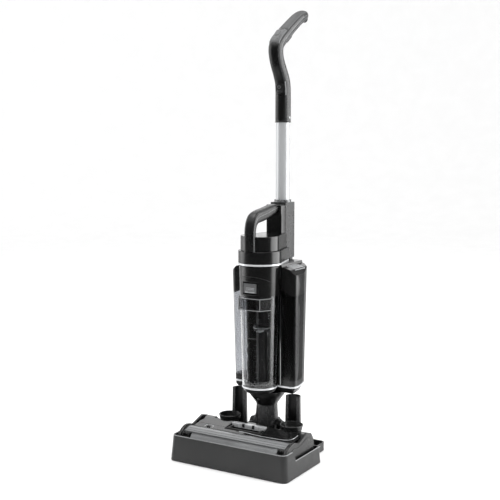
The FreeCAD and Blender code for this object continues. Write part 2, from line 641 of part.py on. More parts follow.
def teardrop(name, radius, back, low, high):
    """A round front that narrows in straight flanks to the spine at the rear."""
    front = rod(name + "_round", radius, "z", low, high, ("0", "tank_y"))
    flanks = prism(name + "_flanks", "XY_Plane",
                   mirrored([("0", "tank_y"), ("(%s) * 0.977" % radius, "tank_y + (%s) * 0.213" % radius),
                             ("housing_rear_half * (%s) / housing_radius" % radius, back), ("0", back)]),
                   low, high)
    return fuse(name, front, flanks)


def make_housing():
    def slot(name, low, high):
        return block(name, (minus("spine_half + 0.2"), "spine_half + 0.2"), ("spine_front - 0.2", "90"),
                     (low, high))

    keep(cut("top_band", teardrop("top_band_outer", "housing_radius + 0.6", "housing_back", "body_top", "housing_low"),
             teardrop("top_band_inner", "housing_radius - 3", "housing_back - 4", "body_top - 1",
                      "housing_low + 1")), "upper_trim_band")
    keep(cut("skirt", teardrop("skirt_outer", "housing_radius", "housing_back", "housing_low", "housing_high"),
             teardrop("skirt_inner", "housing_radius - shell", "housing_back + 1", "housing_low - 1",
                      "housing_high - shell"),
             slot("skirt_slot", "housing_low - 1", "housing_high + 1"),
             rod("skirt_mouth", "40", "z", "housing_low", "housing_high + 1", ("0", "tank_y"))), "motor_housing")
    keep(cut("top_shell", teardrop("top_outer", "housing_radius - 5.5", "50", "housing_high", "cover_top"),
             teardrop("top_inner", "housing_radius - 8.5", "51", "housing_high - 1", "cover_top - shell"),
             slot("top_slot", "housing_high - 1", "cover_top + 1"),
             block("leg_slot", (minus("carry_half + 0.2"), "carry_half + 0.2"), ("-95", "-71"),
                   ("housing_high - 1", "cover_top + 1"))), "motor_cover")
    can = rod("fan_can", "36", "z", "470", "500", ("0", "tank_y"))
    boss = rod("fan_boss", "22", "z", "500", "522", ("0", "tank_y"))
    eye = rod("fan_eye", "14", "z", "469", "478", ("0", "tank_y"))
    keep(cut("fan_housing", fuse("fan_motor", can, boss), eye), "suction_motor")


def make_carry_handle():
    outer = prism("carry_outer", "YZ_Plane",
                  [("-88", "housing_high"), ("-88", "551"), ("-81", "571"), ("-66", "585"), ("-42", "590.5"),
                   ("-7", "596"), ("28", "600"), ("28", "560"), ("-60", "520"), ("-71.5", "housing_high")],
                  minus("carry_half"), "carry_half")
    opening = prism("carry_opening", "YZ_Plane",
                    [("-71.5", "housing_high - 5"), ("-71.5", "540"), ("-69", "551"), ("-60", "559"),
                     ("-42", "562"), ("-18", "565.5"), ("2", "571"), ("28", "580"), ("40", "580"),
                     ("40", "housing_high - 5")],
                    "-carry_half - 1", "carry_half + 1")
    keep(cut("carry", outer, opening), "carry_handle")


def make_spine():
    half = "spine_half"
    front = prism("spine_front_solid", "YZ_Plane",
                  [("spine_front", "housing_low"), ("spine_split - 0.4", "housing_low"),
                   ("spine_split - 0.4", "spine_top - 4"), ("spine_front - 2", "spine_top - 4"),
                   ("spine_front - 2", "578"), ("spine_front", "570")], minus(half), half)
    cavity = block("spine_front_cavity", (minus("spine_half - shell"), "spine_half - shell"),
                   ("spine_front + shell", "spine_split + 1"), ("housing_low + 4", "590"))
    keep(cut("spine_front_shell_cut", front, cavity), "spine_front_shell")

    def rear_edge(point):
        return point.y > 90

    rear = prism("spine_rear_solid", "XY_Plane",
                 mirrored([("0", "spine_split"), (half, "spine_split"), (half, "spine_back"), ("0", "spine_back")]),
                 "housing_low", "spine_top", None, [("14", rear_edge)])
    top_cut = prism("spine_slope", "YZ_Plane",
                    [("spine_back - 11", "spine_top + 1"), ("spine_back - 11", "spine_top"),
                     ("spine_back - 6", "spine_top - 2.5"), ("spine_back - 2.5", "spine_top - 8"),
                     ("spine_back - 0.6", "spine_top - 16"), ("spine_back + 1", "spine_top - 28"),
                     ("spine_back + 2", "spine_top + 1")], "-40", "40")
    bay = block("battery_bay", (minus("spine_half - shell"), "spine_half - shell"), ("spine_split - 1", "96"),
                ("housing_low + 4", "pole_low - 8"))
    seat = rod("pole_seat", "pole_radius", "z", "pole_low", "spine_top + 20", ("0", "pole_y"))
    collar = rod("pole_collar_rod", "pole_radius + 3.5", "z", "spine_top", "608", ("0", "pole_y"))
    tail = block("spine_tail", ("-15", "15"), ("84.5", "98"), ("432", "housing_low"))
    keep(cut("spine_rear_cut", fuse("spine_rear_raw", rear, collar, tail), top_cut, bay, seat), "spine_rear_shell")
    keep(block("battery", ("-16", "16"), ("35", "49"), ("472", "586")), "battery_pack")


# ---------------------------------------------------------------- dirty water tank
def radius_at(height):
    """Radius of the front tank at a height, as an expression."""
    return "(tank_low_radius + (tank_high_radius - tank_low_radius) * (%s - band_high) / (body_top - band_high))" % height


def make_dirty_tank():
    wall = "tank_wall"
    low = radius_at("band_high")
    split = radius_at("tank_split")
    top = radius_at("460")
    keep(turned("tank_cup", [("0", "body_base + 0.4"), ("26", "body_base + 0.4"), ("34", "154.5"), ("39", "159"),
                             ("%s - 0.6" % low, "band_low"), ("38", "band_low"), ("38", "band_high + 2"),
                             ("0", "band_high + 2")], "0", "tank_y"), "tank_base")
    keep(turned("tank_ring", [("38", "band_low"), ("%s + 0.8" % low, "band_low"), ("%s + 0.8" % low, "band_high"),
                              ("38", "band_high")], "0", "tank_y"), "tank_band")
    keep(turned("tank_glass", [("38", "band_high"), (low, "band_high"), (split, "tank_split"),
                               ("%s - %s" % (split, wall), "tank_split"), ("%s - %s" % (low, wall), "176"),
                               ("38", "176")], "0", "tank_y"), "tank_shell")
    window_z = ("395", "424")
    lip = "%s - %s - 0.2" % (split, wall)
    cap = turned("tank_cap_turned", [("34", "tank_split - 6"), (lip, "tank_split - 6"),
                                     (lip, "tank_split"), (split, "tank_split"),
                                     (top, "460"), ("0", "460"), ("0", "456"), ("%s - 4" % top, "456"),
                                     ("%s - 4" % split, "tank_split + 4"), ("34", "tank_split + 4")],
                 "0", "tank_y")
    pocket = block("latch_pocket", ("-20", "20"), ("tank_y - 60", "tank_y - 43"), window_z)
    inside = cone("cap_inside", "%s - 4" % split, "%s - 4" % top, "tank_split + 4", "456", "0", "tank_y")
    cap_block = common("latch_boss", inside, block("latch_boss_block", ("-23", "23"), ("tank_y - 50", "tank_y - 40"),
                                                   ("tank_split + 4", "428")))
    pin = rod("latch_guide_hole", "3", "y", "tank_y - 45", "tank_y - 39", ("0", "409"))
    keep(cut("tank_cap", fuse("tank_cap_raw", cap, cap_block), pocket, pin), "tank_top_cover")
    button = block("latch_face", ("-17", "17"), ("tank_y - 47.4", "tank_y - 45.4"), ("398.5", "420.5"))
    stem = rod("latch_post", "2.7", "y", "tank_y - 45.6", "tank_y - 40.5", ("0", "409"))
    keep(fuse("latch", button, stem), "latch_button")
    spout = prism("spout_outer", "XY_Plane",
                  mirrored([("0", "tank_y - 50.5"), ("29", "tank_y - 50.5"), ("43", "tank_y - 23"),
                            ("0", "tank_y - 23")]), "357", "386")
    hollow = prism("spout_hollow", "XY_Plane",
                   mirrored([("0", "tank_y - 48.5"), ("27.7", "tank_y - 48.5"), ("40.6", "tank_y - 23"),
                             ("0", "tank_y - 23")]), "356", "384")
    bore = cone("spout_bore", "%s + 0.2" % radius_at("350"), "%s + 0.2" % radius_at("390"), "350", "390",
                "0", "tank_y")
    keep(cut("spout", spout, hollow, bore), "spout_collar")
    keep(cut("pipe", rod("pipe_outer", "13", "z", "175", "392", ("0", "tank_y + 8")),
             rod("pipe_bore", "10.5", "z", "174", "393", ("0", "tank_y + 8")),
             block("pipe_window", ("-6", "6"), ("tank_y - 10", "tank_y + 8"), ("330", "350"))), "inlet_tube")
    keep(cut("filter_disc", rod("filter_outer", "33", "z", "392", "412", ("0", "tank_y")),
             rod("filter_pipe_hole", "10.5", "z", "391", "413", ("0", "tank_y + 8"))), "tank_filter")
    keep(cut("float_block", rod("float_outer", "19", "z", "300", "316", ("0", "tank_y + 8")),
             rod("float_bore", "13.4", "z", "299", "317", ("0", "tank_y + 8"))), "tank_float")


# ---------------------------------------------------------------- pole and handle
def make_pole():
    tube = rod("pole_outer", "pole_radius", "z", "pole_low", "pole_high", ("0", "pole_y"))
    keep(cut("pole_tube", tube, rod("pole_bore", "pole_radius - 1.5", "z", "pole_low - 1", "pole_high + 1",
                                    ("0", "pole_y"))), "pole")


# Stations along the handle: y, z, lean of the section in degrees, half width and half depth.
# The first two lie inside the pole's own length and are trimmed off.
STATIONS = [
    ("pole_y", "762", 0, 18.6, 18.8), ("pole_y", "778", 0, 18.6, 18.8),
    ("pole_y", "pole_visible_top", 0, 18.6, 18.8), ("pole_y", "810", 0, 18.6, 18.8),
    ("pole_y", "826", 0, 18.6, 18.8), ("pole_y", "842", 0, 18.6, 18.8), ("pole_y", "859", 0, 18.5, 18.8),
    ("pole_y - 0.6", "876", 4, 18.4, 18.8), ("pole_y - 3.5", "891", 16, 18.2, 18.5),
    ("pole_y - 10", "905", 26, 18, 18.2), ("pole_y - 18.5", "919", 30, 17.6, 17.8),
    ("47", "933", 27, 17.4, 17.6), ("40.5", "948", 16, 17.2, 17.6), ("38.2", "963", -6, 17.4, 18),
    ("42.8", "977", -34, 17.6, 18.2), ("55", "988", -49, 17.6, 18), ("70", "998.5", -54, 17.3, 17.4),
    ("86", "1009", -55, 16.8, 16.8), ("102", "1019.5", -56.5, 16.3, 16.3), ("118", "1029.5", -58, 16, 16),
    ("133", "1038.5", -60, 15.7, 15.7), ("148", "1046.5", -62, 15.3, 15.3), ("161", "1052", -65, 14.5, 14.5),
    ("tip_y - 19", "1056", -69, 12.6, 12.6), ("tip_y - 9", "1058.3", -74, 9.6, 9.6),
    ("tip_y - 2.5", "1059.5", -79, 5, 5),
]
PANEL_SPOT = ("56", "988", -50)
TRIGGER_SPOT = ("86", "1009", -55)


def tilted(name, spot, x, y, z):
    """A box in the frame of a spot on the grip: x across, -y to the front face, z along the grip."""
    spot_y, spot_z, lean = spot
    box = doc.addObject("Part::Box", name)
    for prop, (low, high) in (("Length", x), ("Width", y), ("Height", z)):
        bind(box, prop, "(%s) - (%s)" % (high, low))
    turn = Rotation(Vector(1, 0, 0), lean)
    corner = turn.multVec(Vector(x[0], y[0], z[0]))
    box.Placement = Placement(corner, turn)
    place(box, "%s" % corner.x, "%s + %s" % (spot_y, corner.y), "%s + %s" % (spot_z, corner.z))
    return box


QUARTER = Rotation(Vector(0, 0, 1), 90)


def make_handle():
    rings = []
    for number, (y, z, lean, half_width, half_depth) in enumerate(STATIONS):
        ring = doc.addObject("Part::Ellipse", "station_%d" % number)
        ring.MajorRadius = half_depth
        ring.MinorRadius = half_width
        ring.Placement = Placement(Vector(), Rotation(Vector(1, 0, 0), lean) * QUARTER)
        place(ring, "0", y, z)
        rings.append(ring)
    skin = doc.addObject("Part::Loft", "handle_skin")
    skin.Sections = rings
    skin.Solid = True
    run_in = block("handle_run_in", ("-40", "40"), ("pole_y - 40", "pole_y + 40"), ("750", "pole_visible_top"))
    seat = rod("handle_seat", "pole_radius", "z", "pole_visible_top - 1", "pole_high", ("0", "pole_y"))
    power_seat = rod("power_seat", "8.4", "y", "pole_y - 30", "pole_y - 12", ("0", "power_z"))
    panel_seat = tilted("panel_seat", PANEL_SPOT, (-9, 9), (-25, -15.5), (-17, 17))
    trigger_seat = tilted("trigger_seat", TRIGGER_SPOT, (-5.9, 5.9), (8, 26), (-15.4, 13.4))
    keep(cut("handle", skin, run_in, seat, power_seat, panel_seat, trigger_seat), "handle_shell")
    keep(rod("power_key", "8", "y", "pole_y - 20.4", "pole_y - 14.5", ("0", "power_z")), "power_button")
    plate = tilted("panel_plate", PANEL_SPOT, (-9, 9), (-18, -15.5), (-17, 17))
    key_seat = tilted("mode_seat", PANEL_SPOT, (-5.4, 5.4), (-19, -15), (-5.4, 12.4))
    keep(cut("panel", plate, key_seat), "button_panel")
    keep(tilted("mode_key", PANEL_SPOT, (-5, 5), (-19, -16.8), (-5, 12)), "mode_button")
    keep(tilted("trigger_key", TRIGGER_SPOT, (-5.5, 5.5), (12, 20), (-15, 13)), "trigger")


make_dock_tray()
for side in SIDES:
    make_holder(side)
make_charge_block()
make_dock_feet()
make_head_base()
make_head_top_cover()
for side in SIDES:
    make_side_shield(side)
make_roller_cover()
make_roller()
make_brush_drive()
make_wheels()
make_head_fittings()
make_neck()
make_body_base()
make_body_core()
make_clean_tank()
make_upper_shell()
make_housing()
make_carry_handle()
make_spine()
make_dirty_tank()
make_pole()
make_handle()
doc.recompute()

# ---------------------------------------------------------------- checks and export
for item in doc.Objects:
    if "Invalid" in item.State or "Error" in item.State:
        raise RuntimeError("%s is %s" % (item.Label, item.State))
labels = [item.Label for item in nodes]
if len(set(labels)) != len(labels):
    raise RuntimeError("two sub-parts share a label")
for item in nodes:
    if item.Shape.isNull() or not item.Shape.isValid() or not item.Shape.Solids:
        raise RuntimeError("%s has no valid solid" % item.Label)
for item in nodes:
    item.Shape.exportStep("parts/%s.step" % item.Label)
    print("%-20s solids %d  volume %8.1f cm3" % (item.Label, len(item.Shape.Solids), item.Shape.Volume / 1000))
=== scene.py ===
import math
import random

import bmesh
import bpy
from mathutils import Matrix, Vector
from mathutils.bvhtree import BVHTree


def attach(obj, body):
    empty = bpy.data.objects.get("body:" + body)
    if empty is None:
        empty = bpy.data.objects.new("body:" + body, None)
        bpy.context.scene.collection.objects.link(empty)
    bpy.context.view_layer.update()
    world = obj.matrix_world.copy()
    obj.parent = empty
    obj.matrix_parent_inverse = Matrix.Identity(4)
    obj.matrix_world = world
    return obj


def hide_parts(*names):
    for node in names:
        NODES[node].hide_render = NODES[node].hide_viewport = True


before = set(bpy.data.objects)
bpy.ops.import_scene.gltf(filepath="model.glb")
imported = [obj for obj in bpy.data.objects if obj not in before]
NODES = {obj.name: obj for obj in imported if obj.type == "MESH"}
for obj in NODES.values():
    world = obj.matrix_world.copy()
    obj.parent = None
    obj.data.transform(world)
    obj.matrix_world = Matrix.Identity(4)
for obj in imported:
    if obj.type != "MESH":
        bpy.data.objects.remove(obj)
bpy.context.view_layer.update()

MM = 0.001

# Share of a noise's values that a material's spread of shade or polish uses.
NOISE_BAND = (0.35, 0.65)
SHADE_SCALE = 9.0
POLISH_SCALE = 38.0
COAT_ROUGHNESS = 0.08
# Distance from the middle, in metres, over which the water tank's colour changes from its dark smoked tint
# to the lighter -X side, a painted lightening that stands in for light and reflection.
PAINTED_LIGHT_REACH = 0.06

CREASE_ANGLE = 38
BEVEL_ANGLE = 35
WELD_REACH = 0.00001


# ---------------------------------------------------------------- materials
def new_material(name):
    mat = bpy.data.materials.new(name)
    mat.use_nodes = True
    tree = mat.node_tree
    shader = next(n for n in tree.nodes if n.type == "BSDF_PRINCIPLED")
    return mat, tree, shader


def add(tree, kind, **inputs):
    """A new node with the values of some of its inputs."""
    node = tree.nodes.new(kind)
    for key, val in inputs.items():
        node.inputs[key].default_value = val
    return node


def coordinates(tree, stretch):
    """Object coordinates, stretched per axis."""
    place = tree.nodes.new("ShaderNodeTexCoord")
    mapping = tree.nodes.new("ShaderNodeMapping")
    mapping.inputs["Scale"].default_value = stretch
    tree.links.new(place.outputs["Object"], mapping.inputs["Vector"])
    return mapping.outputs["Vector"]


def vary(tree, vector, scale, low, high, target):
    """A noise mapped from low to high on one number socket."""
    noise = add(tree, "ShaderNodeTexNoise", Scale=scale, Detail=4.0)
    tree.links.new(vector, noise.inputs["Vector"])
    spread = tree.nodes.new("ShaderNodeMapRange")
    spread.inputs["From Min"].default_value = NOISE_BAND[0]
    spread.inputs["From Max"].default_value = NOISE_BAND[1]
    spread.inputs["To Min"].default_value = low
    spread.inputs["To Max"].default_value = high
    tree.links.new(noise.outputs["Fac"], spread.inputs["Value"])
    tree.links.new(spread.outputs["Result"], target)


def colour_ramp(tree, dark, light, factor, target):
    """A ramp between two colours, from a number socket to a colour socket."""
    ramp = tree.nodes.new("ShaderNodeValToRGB")
    ramp.color_ramp.elements[0].color = (*dark, 1)
    ramp.color_ramp.elements[1].color = (*light, 1)
    tree.links.new(factor, ramp.inputs["Fac"])
    tree.links.new(ramp.outputs["Color"], target)
    return ramp.color_ramp


def tint(tree, vector, scale, dark, light, target):
    """A noise mapped between two colours on a colour socket."""
    noise = add(tree, "ShaderNodeTexNoise", Scale=scale, Detail=5.0)
    tree.links.new(vector, noise.inputs["Vector"])
    ramp = colour_ramp(tree, dark, light, noise.outputs["Fac"], target)
    for element, position in zip(ramp.elements, NOISE_BAND):
        element.position = position


def bump(tree, vector, shader, scale, strength, distance, kind):
    """Fine relief on the shader's normal, from cells or from noise."""
    if kind == "cells":
        texture = add(tree, "ShaderNodeTexVoronoi", Scale=scale)
        output = texture.outputs["Distance"]
    else:
        texture = add(tree, "ShaderNodeTexNoise", Scale=scale, Detail=3.0)
        output = texture.outputs["Fac"]
    tree.links.new(vector, texture.inputs["Vector"])
    relief = tree.nodes.new("ShaderNodeBump")
    relief.inputs["Strength"].default_value = strength
    relief.inputs["Distance"].default_value = distance
    tree.links.new(output, relief.inputs["Height"])
    tree.links.new(relief.outputs["Normal"], shader.inputs["Normal"])


def grey(level, warm):
    return (level * (1 + warm), level, level * (1 - warm))


def surface(name, level, rough, metal=0.0, coat=0.0, grain=1400.0, relief=0.12, depth=0.00012,
            spread=0.12, stretch=(1, 1, 1), kind="noise", warm=-0.02, sheen=0.0, ior=1.5):
    """An opaque surface with small changes of shade and gloss and a fine relief."""
    mat, tree, shader = new_material(name)
    shader.inputs["Metallic"].default_value = metal
    shader.inputs["IOR"].default_value = ior
    shader.inputs["Coat Weight"].default_value = coat
    shader.inputs["Coat Roughness"].default_value = COAT_ROUGHNESS
    shader.inputs["Sheen Weight"].default_value = sheen
    vector = coordinates(tree, stretch)
    tint(tree, vector, SHADE_SCALE, grey(level * (1 - spread), warm), grey(level * (1 + spread), warm),
         shader.inputs["Base Color"])
    vary(tree, vector, POLISH_SCALE, rough * 0.88, rough * 1.16, shader.inputs["Roughness"])
    bump(tree, vector, shader, grain, relief, depth, kind)
    return mat


def clear(name, color, rough, ior=1.46, far=None):
    """A transparent moulding with small changes of polish; far is its colour on the -X side, where it is
    painted lighter as painted light and reflection.
    """
    mat, tree, shader = new_material(name)
    shader.inputs["Transmission Weight"].default_value = 1.0
    shader.inputs["IOR"].default_value = ior
    vector = coordinates(tree, (1, 1, 0.3))
    # Painted light: the colour runs from far on the -X side to color on the +X side.
    if far:
        split = tree.nodes.new("ShaderNodeSeparateXYZ")
        tree.links.new(vector, split.inputs[0])
        spread = tree.nodes.new("ShaderNodeMapRange")
        spread.inputs["From Min"].default_value = -PAINTED_LIGHT_REACH
        spread.inputs["From Max"].default_value = PAINTED_LIGHT_REACH
        tree.links.new(split.outputs["X"], spread.inputs["Value"])
        colour_ramp(tree, far, color, spread.outputs["Result"], shader.inputs["Base Color"])
    else:
        tint(tree, vector, 6.0, tuple(c * 0.97 for c in color), color, shader.inputs["Base Color"])
    vary(tree, vector, 25.0, rough * 0.7, rough * 1.4, shader.inputs["Roughness"])
    return mat


DOCK = surface("dock_satin", 0.011, 0.36, grain=2200, relief=0.22, depth=0.0001)
GLOSS = surface("shell_gloss", 0.006, 0.22, coat=0.25, grain=500, relief=0.01, spread=0.1)
# Light grey for the tray's rim rail: a painted highlight along the rim's edge.
RIM_PAINTED_HIGHLIGHT = surface("dock_rim_painted_highlight", 0.2, 0.3, grain=1800, relief=0.08, spread=0.1)
SATIN = surface("shell_satin", 0.006, 0.3, grain=2600)
PLATE = surface("head_plate_gloss", 0.008, 0.1, grain=400, relief=0.006, spread=0.1, ior=1.9)
BAR = surface("roller_bar_satin", 0.2, 0.26, grain=900, relief=0.05, stretch=(0.05, 1, 1), spread=0.15)
BLACK = surface("frame_black", 0.0025, 0.45, grain=1800, relief=0.2, spread=0.15)
CHROME = surface("trim_chrome", 0.86, 0.14, metal=0.45, grain=300, relief=0.01, spread=0.02)
ALUMINIUM = surface("pole_aluminium", 0.55, 0.34, metal=0.4, grain=1200, relief=0.05,
                    stretch=(1, 1, 0.03), spread=0.05)
SILVER = surface("silver_paint", 0.6, 0.26, metal=0.4, grain=1500, relief=0.05, spread=0.05)
SMOKED_KEY = surface("latch_key_grey", 0.1, 0.3, grain=1500, relief=0.06, spread=0.08)
STEEL = surface("machined_steel", 0.5, 0.26, metal=1.0, relief=0.08, stretch=(0.1, 1, 1), spread=0.08)
RUBBER = surface("soft_rubber", 0.012, 0.62, grain=1600, relief=0.3, spread=0.15)
NAP = surface("microfibre_nap", 0.24, 0.9, grain=2600, relief=0.6, depth=0.0004, spread=0.2, sheen=0.2)
GRIP = surface("grip_textured", 0.075, 0.5, grain=1500, relief=0.5, depth=0.0002, kind="cells",
               spread=0.15)
PANEL = surface("panel_textured", 0.11, 0.42, grain=1100, relief=0.4, depth=0.0002, kind="cells",
                spread=0.2)
FILTER = surface("filter_fleece", 0.35, 0.85, grain=1200, relief=0.6, depth=0.0004, sheen=0.3)
BOARD = surface("board_dark", 0.03, 0.4, grain=700, relief=0.2, warm=0.0)
FLOAT = surface("float_white", 0.7, 0.35, grain=700, relief=0.05, spread=0.04)
SLEEVE = surface("handle_grey", 0.035, 0.27, grain=2200, relief=0.1, spread=0.1)
INLAY = surface("handle_inlay_black", 0.004, 0.3, grain=2200, relief=0.1, spread=0.1)
MARK = surface("mark_grey", 0.22, 0.4, grain=900, relief=0.1, spread=0.08)
MESH = surface("exhaust_mesh", 0.8, 0.35, metal=0.3, grain=1500, relief=0.1, spread=0.1)
GLASS = clear("tank_clear", (0.94, 0.95, 0.96), 0.03, ior=1.58)
SPOUT = clear("spout_smoked", (0.5, 0.5, 0.51), 0.12)
# Dark smoked tint, painted light grey towards -X as painted light and reflection on that side.
SMOKE_AND_PAINTED_LIGHT = clear("tank_smoked_painted_light", (0.06, 0.06, 0.064), 0.12, far=(0.62, 0.63, 0.65))


# ---------------------------------------------------------------- edges and shading
def crease_group():
    """Geometry nodes that keep edges sharper than CREASE_ANGLE as creases."""
    group = bpy.data.node_groups.new("crease_by_angle", "GeometryNodeTree")
    group.interface.new_socket("Geometry", in_out="INPUT", socket_type="NodeSocketGeometry")
    group.interface.new_socket("Geometry", in_out="OUTPUT", socket_type="NodeSocketGeometry")
    entry = group.nodes.new("NodeGroupInput")
    leave = group.nodes.new("NodeGroupOutput")
    angle = group.nodes.new("GeometryNodeInputMeshEdgeAngle")
    over = group.nodes.new("FunctionNodeCompare")
    over.data_type = "FLOAT"
    over.operation = "GREATER_THAN"
    over.inputs["B"].default_value = math.radians(CREASE_ANGLE)
    crease = group.nodes.new("GeometryNodeSetShadeSmooth")
    crease.domain = "EDGE"
    crease.inputs["Shade Smooth"].default_value = False
    group.links.new(angle.outputs["Unsigned Angle"], over.inputs["A"])
    group.links.new(entry.outputs[0], crease.inputs["Geometry"])
    group.links.new(over.outputs["Result"], crease.inputs["Selection"])
    group.links.new(crease.outputs[0], leave.inputs[0])
    return group


CREASES = crease_group()


def finish_edges(obj, edge, segments, weld=False):
    """Bevel an object by edge millimetres and shade it smooth up to real creases."""
    for polygon in obj.data.polygons:
        polygon.use_smooth = True
    if weld:
        obj.modifiers.new("weld", "WELD").merge_threshold = WELD_REACH
    if edge:
        bevel = obj.modifiers.new("edge", "BEVEL")
        bevel.width = edge * MM
        bevel.segments = segments
        bevel.limit_method = "ANGLE"
        bevel.angle_limit = math.radians(BEVEL_ANGLE)
        bevel.miter_outer = "MITER_ARC"
    obj.modifiers.new("creases", "NODES").node_group = CREASES
    normals = obj.modifiers.new("normals", "WEIGHTED_NORMAL")
    normals.keep_sharp = True


# ---------------------------------------------------------------- dressing the CAD nodes
def dress(names, material, edge, segments=2):
    """Give CAD nodes their material and soften their edges by edge millimetres."""
    for name in names.split():
        obj = NODES[name]
        obj.data.materials.clear()
        obj.data.materials.append(material)
        finish_edges(obj, edge, segments, weld=True)


dress("dock_tray", DOCK, 1.1, 3)
dress("holder_left holder_right charge_block", DOCK, 0.8)
dress("dock_feet squeegee drive_belt", RUBBER, 0.4)
dress("wheel_left wheel_right", RUBBER, 0.8)
dress("side_shield_left side_shield_right", SATIN, 1.6, 3)
dress("head_base", BLACK, 0.5)
dress("head_top_cover", PLATE, 0.35)
dress("roller_cover", BAR, 0.5)
dress("roller_core", BLACK, 0.6)
dress("motor_pulley", BLACK, 0.3)
dress("roller_nap", NAP, 0.8)
dress("cover_lever", BLACK, 0.9, 3)
dress("cover_latch", BLACK, 0.5)
dress("neck_funnel", SATIN, 0.8)
# The lighter handle grey on neck_tube is painted light, raising the neck's highlight.
dress("neck_yoke neck_tube", SLEEVE, 0.8)
dress("pivot_pins", BLACK, 1.2, 3)
dress("wheel_axle head_screws brush_motor suction_motor water_pump", STEEL, 0.4)
dress("spray_bar suction_duct", BLACK, 0.3)
dress("body_base", SATIN, 1.0, 3)
dress("body_core", GLOSS, 1.4, 3)
dress("core_back_cover", SATIN, 0.3)
dress("base_trim_band upper_trim_band tank_band", CHROME, 0.5, 3)
dress("control_board", BOARD, 0.0)
dress("body_upper_shell", GLOSS, 1.0, 3)
dress("motor_housing motor_cover", GLOSS, 2.2, 4)
dress("spine_front_shell", GLOSS, 3.0, 5)
dress("spine_rear_shell", SLEEVE, 1.2, 3)
dress("battery_pack", BLACK, 0.6)
dress("clean_tank", SMOKE_AND_PAINTED_LIGHT, 0.6)
dress("clean_tank_foot", GLOSS, 0.6)
dress("tank_shell", GLASS, 0.4)
dress("spout_collar", SPOUT, 0.5)
dress("tank_base", SATIN, 0.8)
dress("tank_top_cover", GLOSS, 0.7, 3)
dress("latch_button", SMOKED_KEY, 0.9, 3)
dress("inlet_tube", BLACK, 0.4)
dress("tank_filter", FILTER, 0.5)
dress("tank_float", BLACK, 0.5)
dress("pole", ALUMINIUM, 0.2)
dress("handle_shell", SLEEVE, 0.5)
dress("power_button", BLACK, 0.7, 3)
dress("button_panel", PANEL, 0.7, 3)
dress("mode_button", PANEL, 0.5, 3)
dress("trigger", BLACK, 1.4, 3)


# ---------------------------------------------------------------- reading the CAD nodes
def box_of(node):
    """Lowest and highest corner of a CAD node, in millimetres."""
    spreads = [[v.co[i] / MM for v in NODES[node].data.vertices] for i in range(3)]
    return Vector([min(s) for s in spreads]), Vector([max(s) for s in spreads])


def middle_of(node):
    low, high = box_of(node)
    return (low + high) / 2


TREES = {}


def tree_of(node):
    """The surface of a CAD node, in millimetres, for finding points on it."""
    if node not in TREES:
        mesh = NODES[node].data
        TREES[node] = BVHTree.FromPolygons([v.co / MM for v in mesh.vertices],
                                           [tuple(p.vertices) for p in mesh.polygons])
    return TREES[node]


def height_under(node, x, y, start):
    """Height of a CAD node's skin straight below a point, or None beside the node."""
    found = tree_of(node).ray_cast(Vector((x, y, start)), Vector((0, 0, -1)))[0]
    return found.z if found else None


# ---------------------------------------------------------------- lines and pieces
def arc(u, v, radius, degrees):
    """Points of a round stretch about (u, v), one for each angle."""
    turns = [math.radians(a) for a in degrees]
    return [(u + radius * math.cos(t), v + radius * math.sin(t)) for t in turns]


def circle(u, v, radius, count):
    """Evenly spaced points of a whole circle about (u, v)."""
    return arc(u, v, radius, [360 * i / count for i in range(count)])


def curve(points, count):
    """A smooth line through points, evenly divided."""
    points = [Vector(p) for p in points]
    ends = [points[0] * 2 - points[1]] + points + [points[-1] * 2 - points[-2]]
    dense = []
    for i in range(1, len(ends) - 2):
        p0, p1, p2, p3 = ends[i - 1:i + 3]
        for step in range(20):
            t = step / 20
            dense.append(0.5 * (2 * p1 + (p2 - p0) * t + (2 * p0 - 5 * p1 + 4 * p2 - p3) * t * t
                                + (3 * p1 - p0 - 3 * p2 + p3) * t ** 3))
    dense.append(points[-1])
    lengths = [0.0]
    for a, b in zip(dense, dense[1:]):
        lengths.append(lengths[-1] + (b - a).length)
    result = []
    at = 0
    for i in range(count + 1):
        goal = lengths[-1] * i / count
        while at < len(dense) - 2 and lengths[at + 1] < goal:
            at += 1
        span = lengths[at + 1] - lengths[at] or 1
        result.append(dense[at].lerp(dense[at + 1], min(1, max(0, (goal - lengths[at]) / span))))
    return result


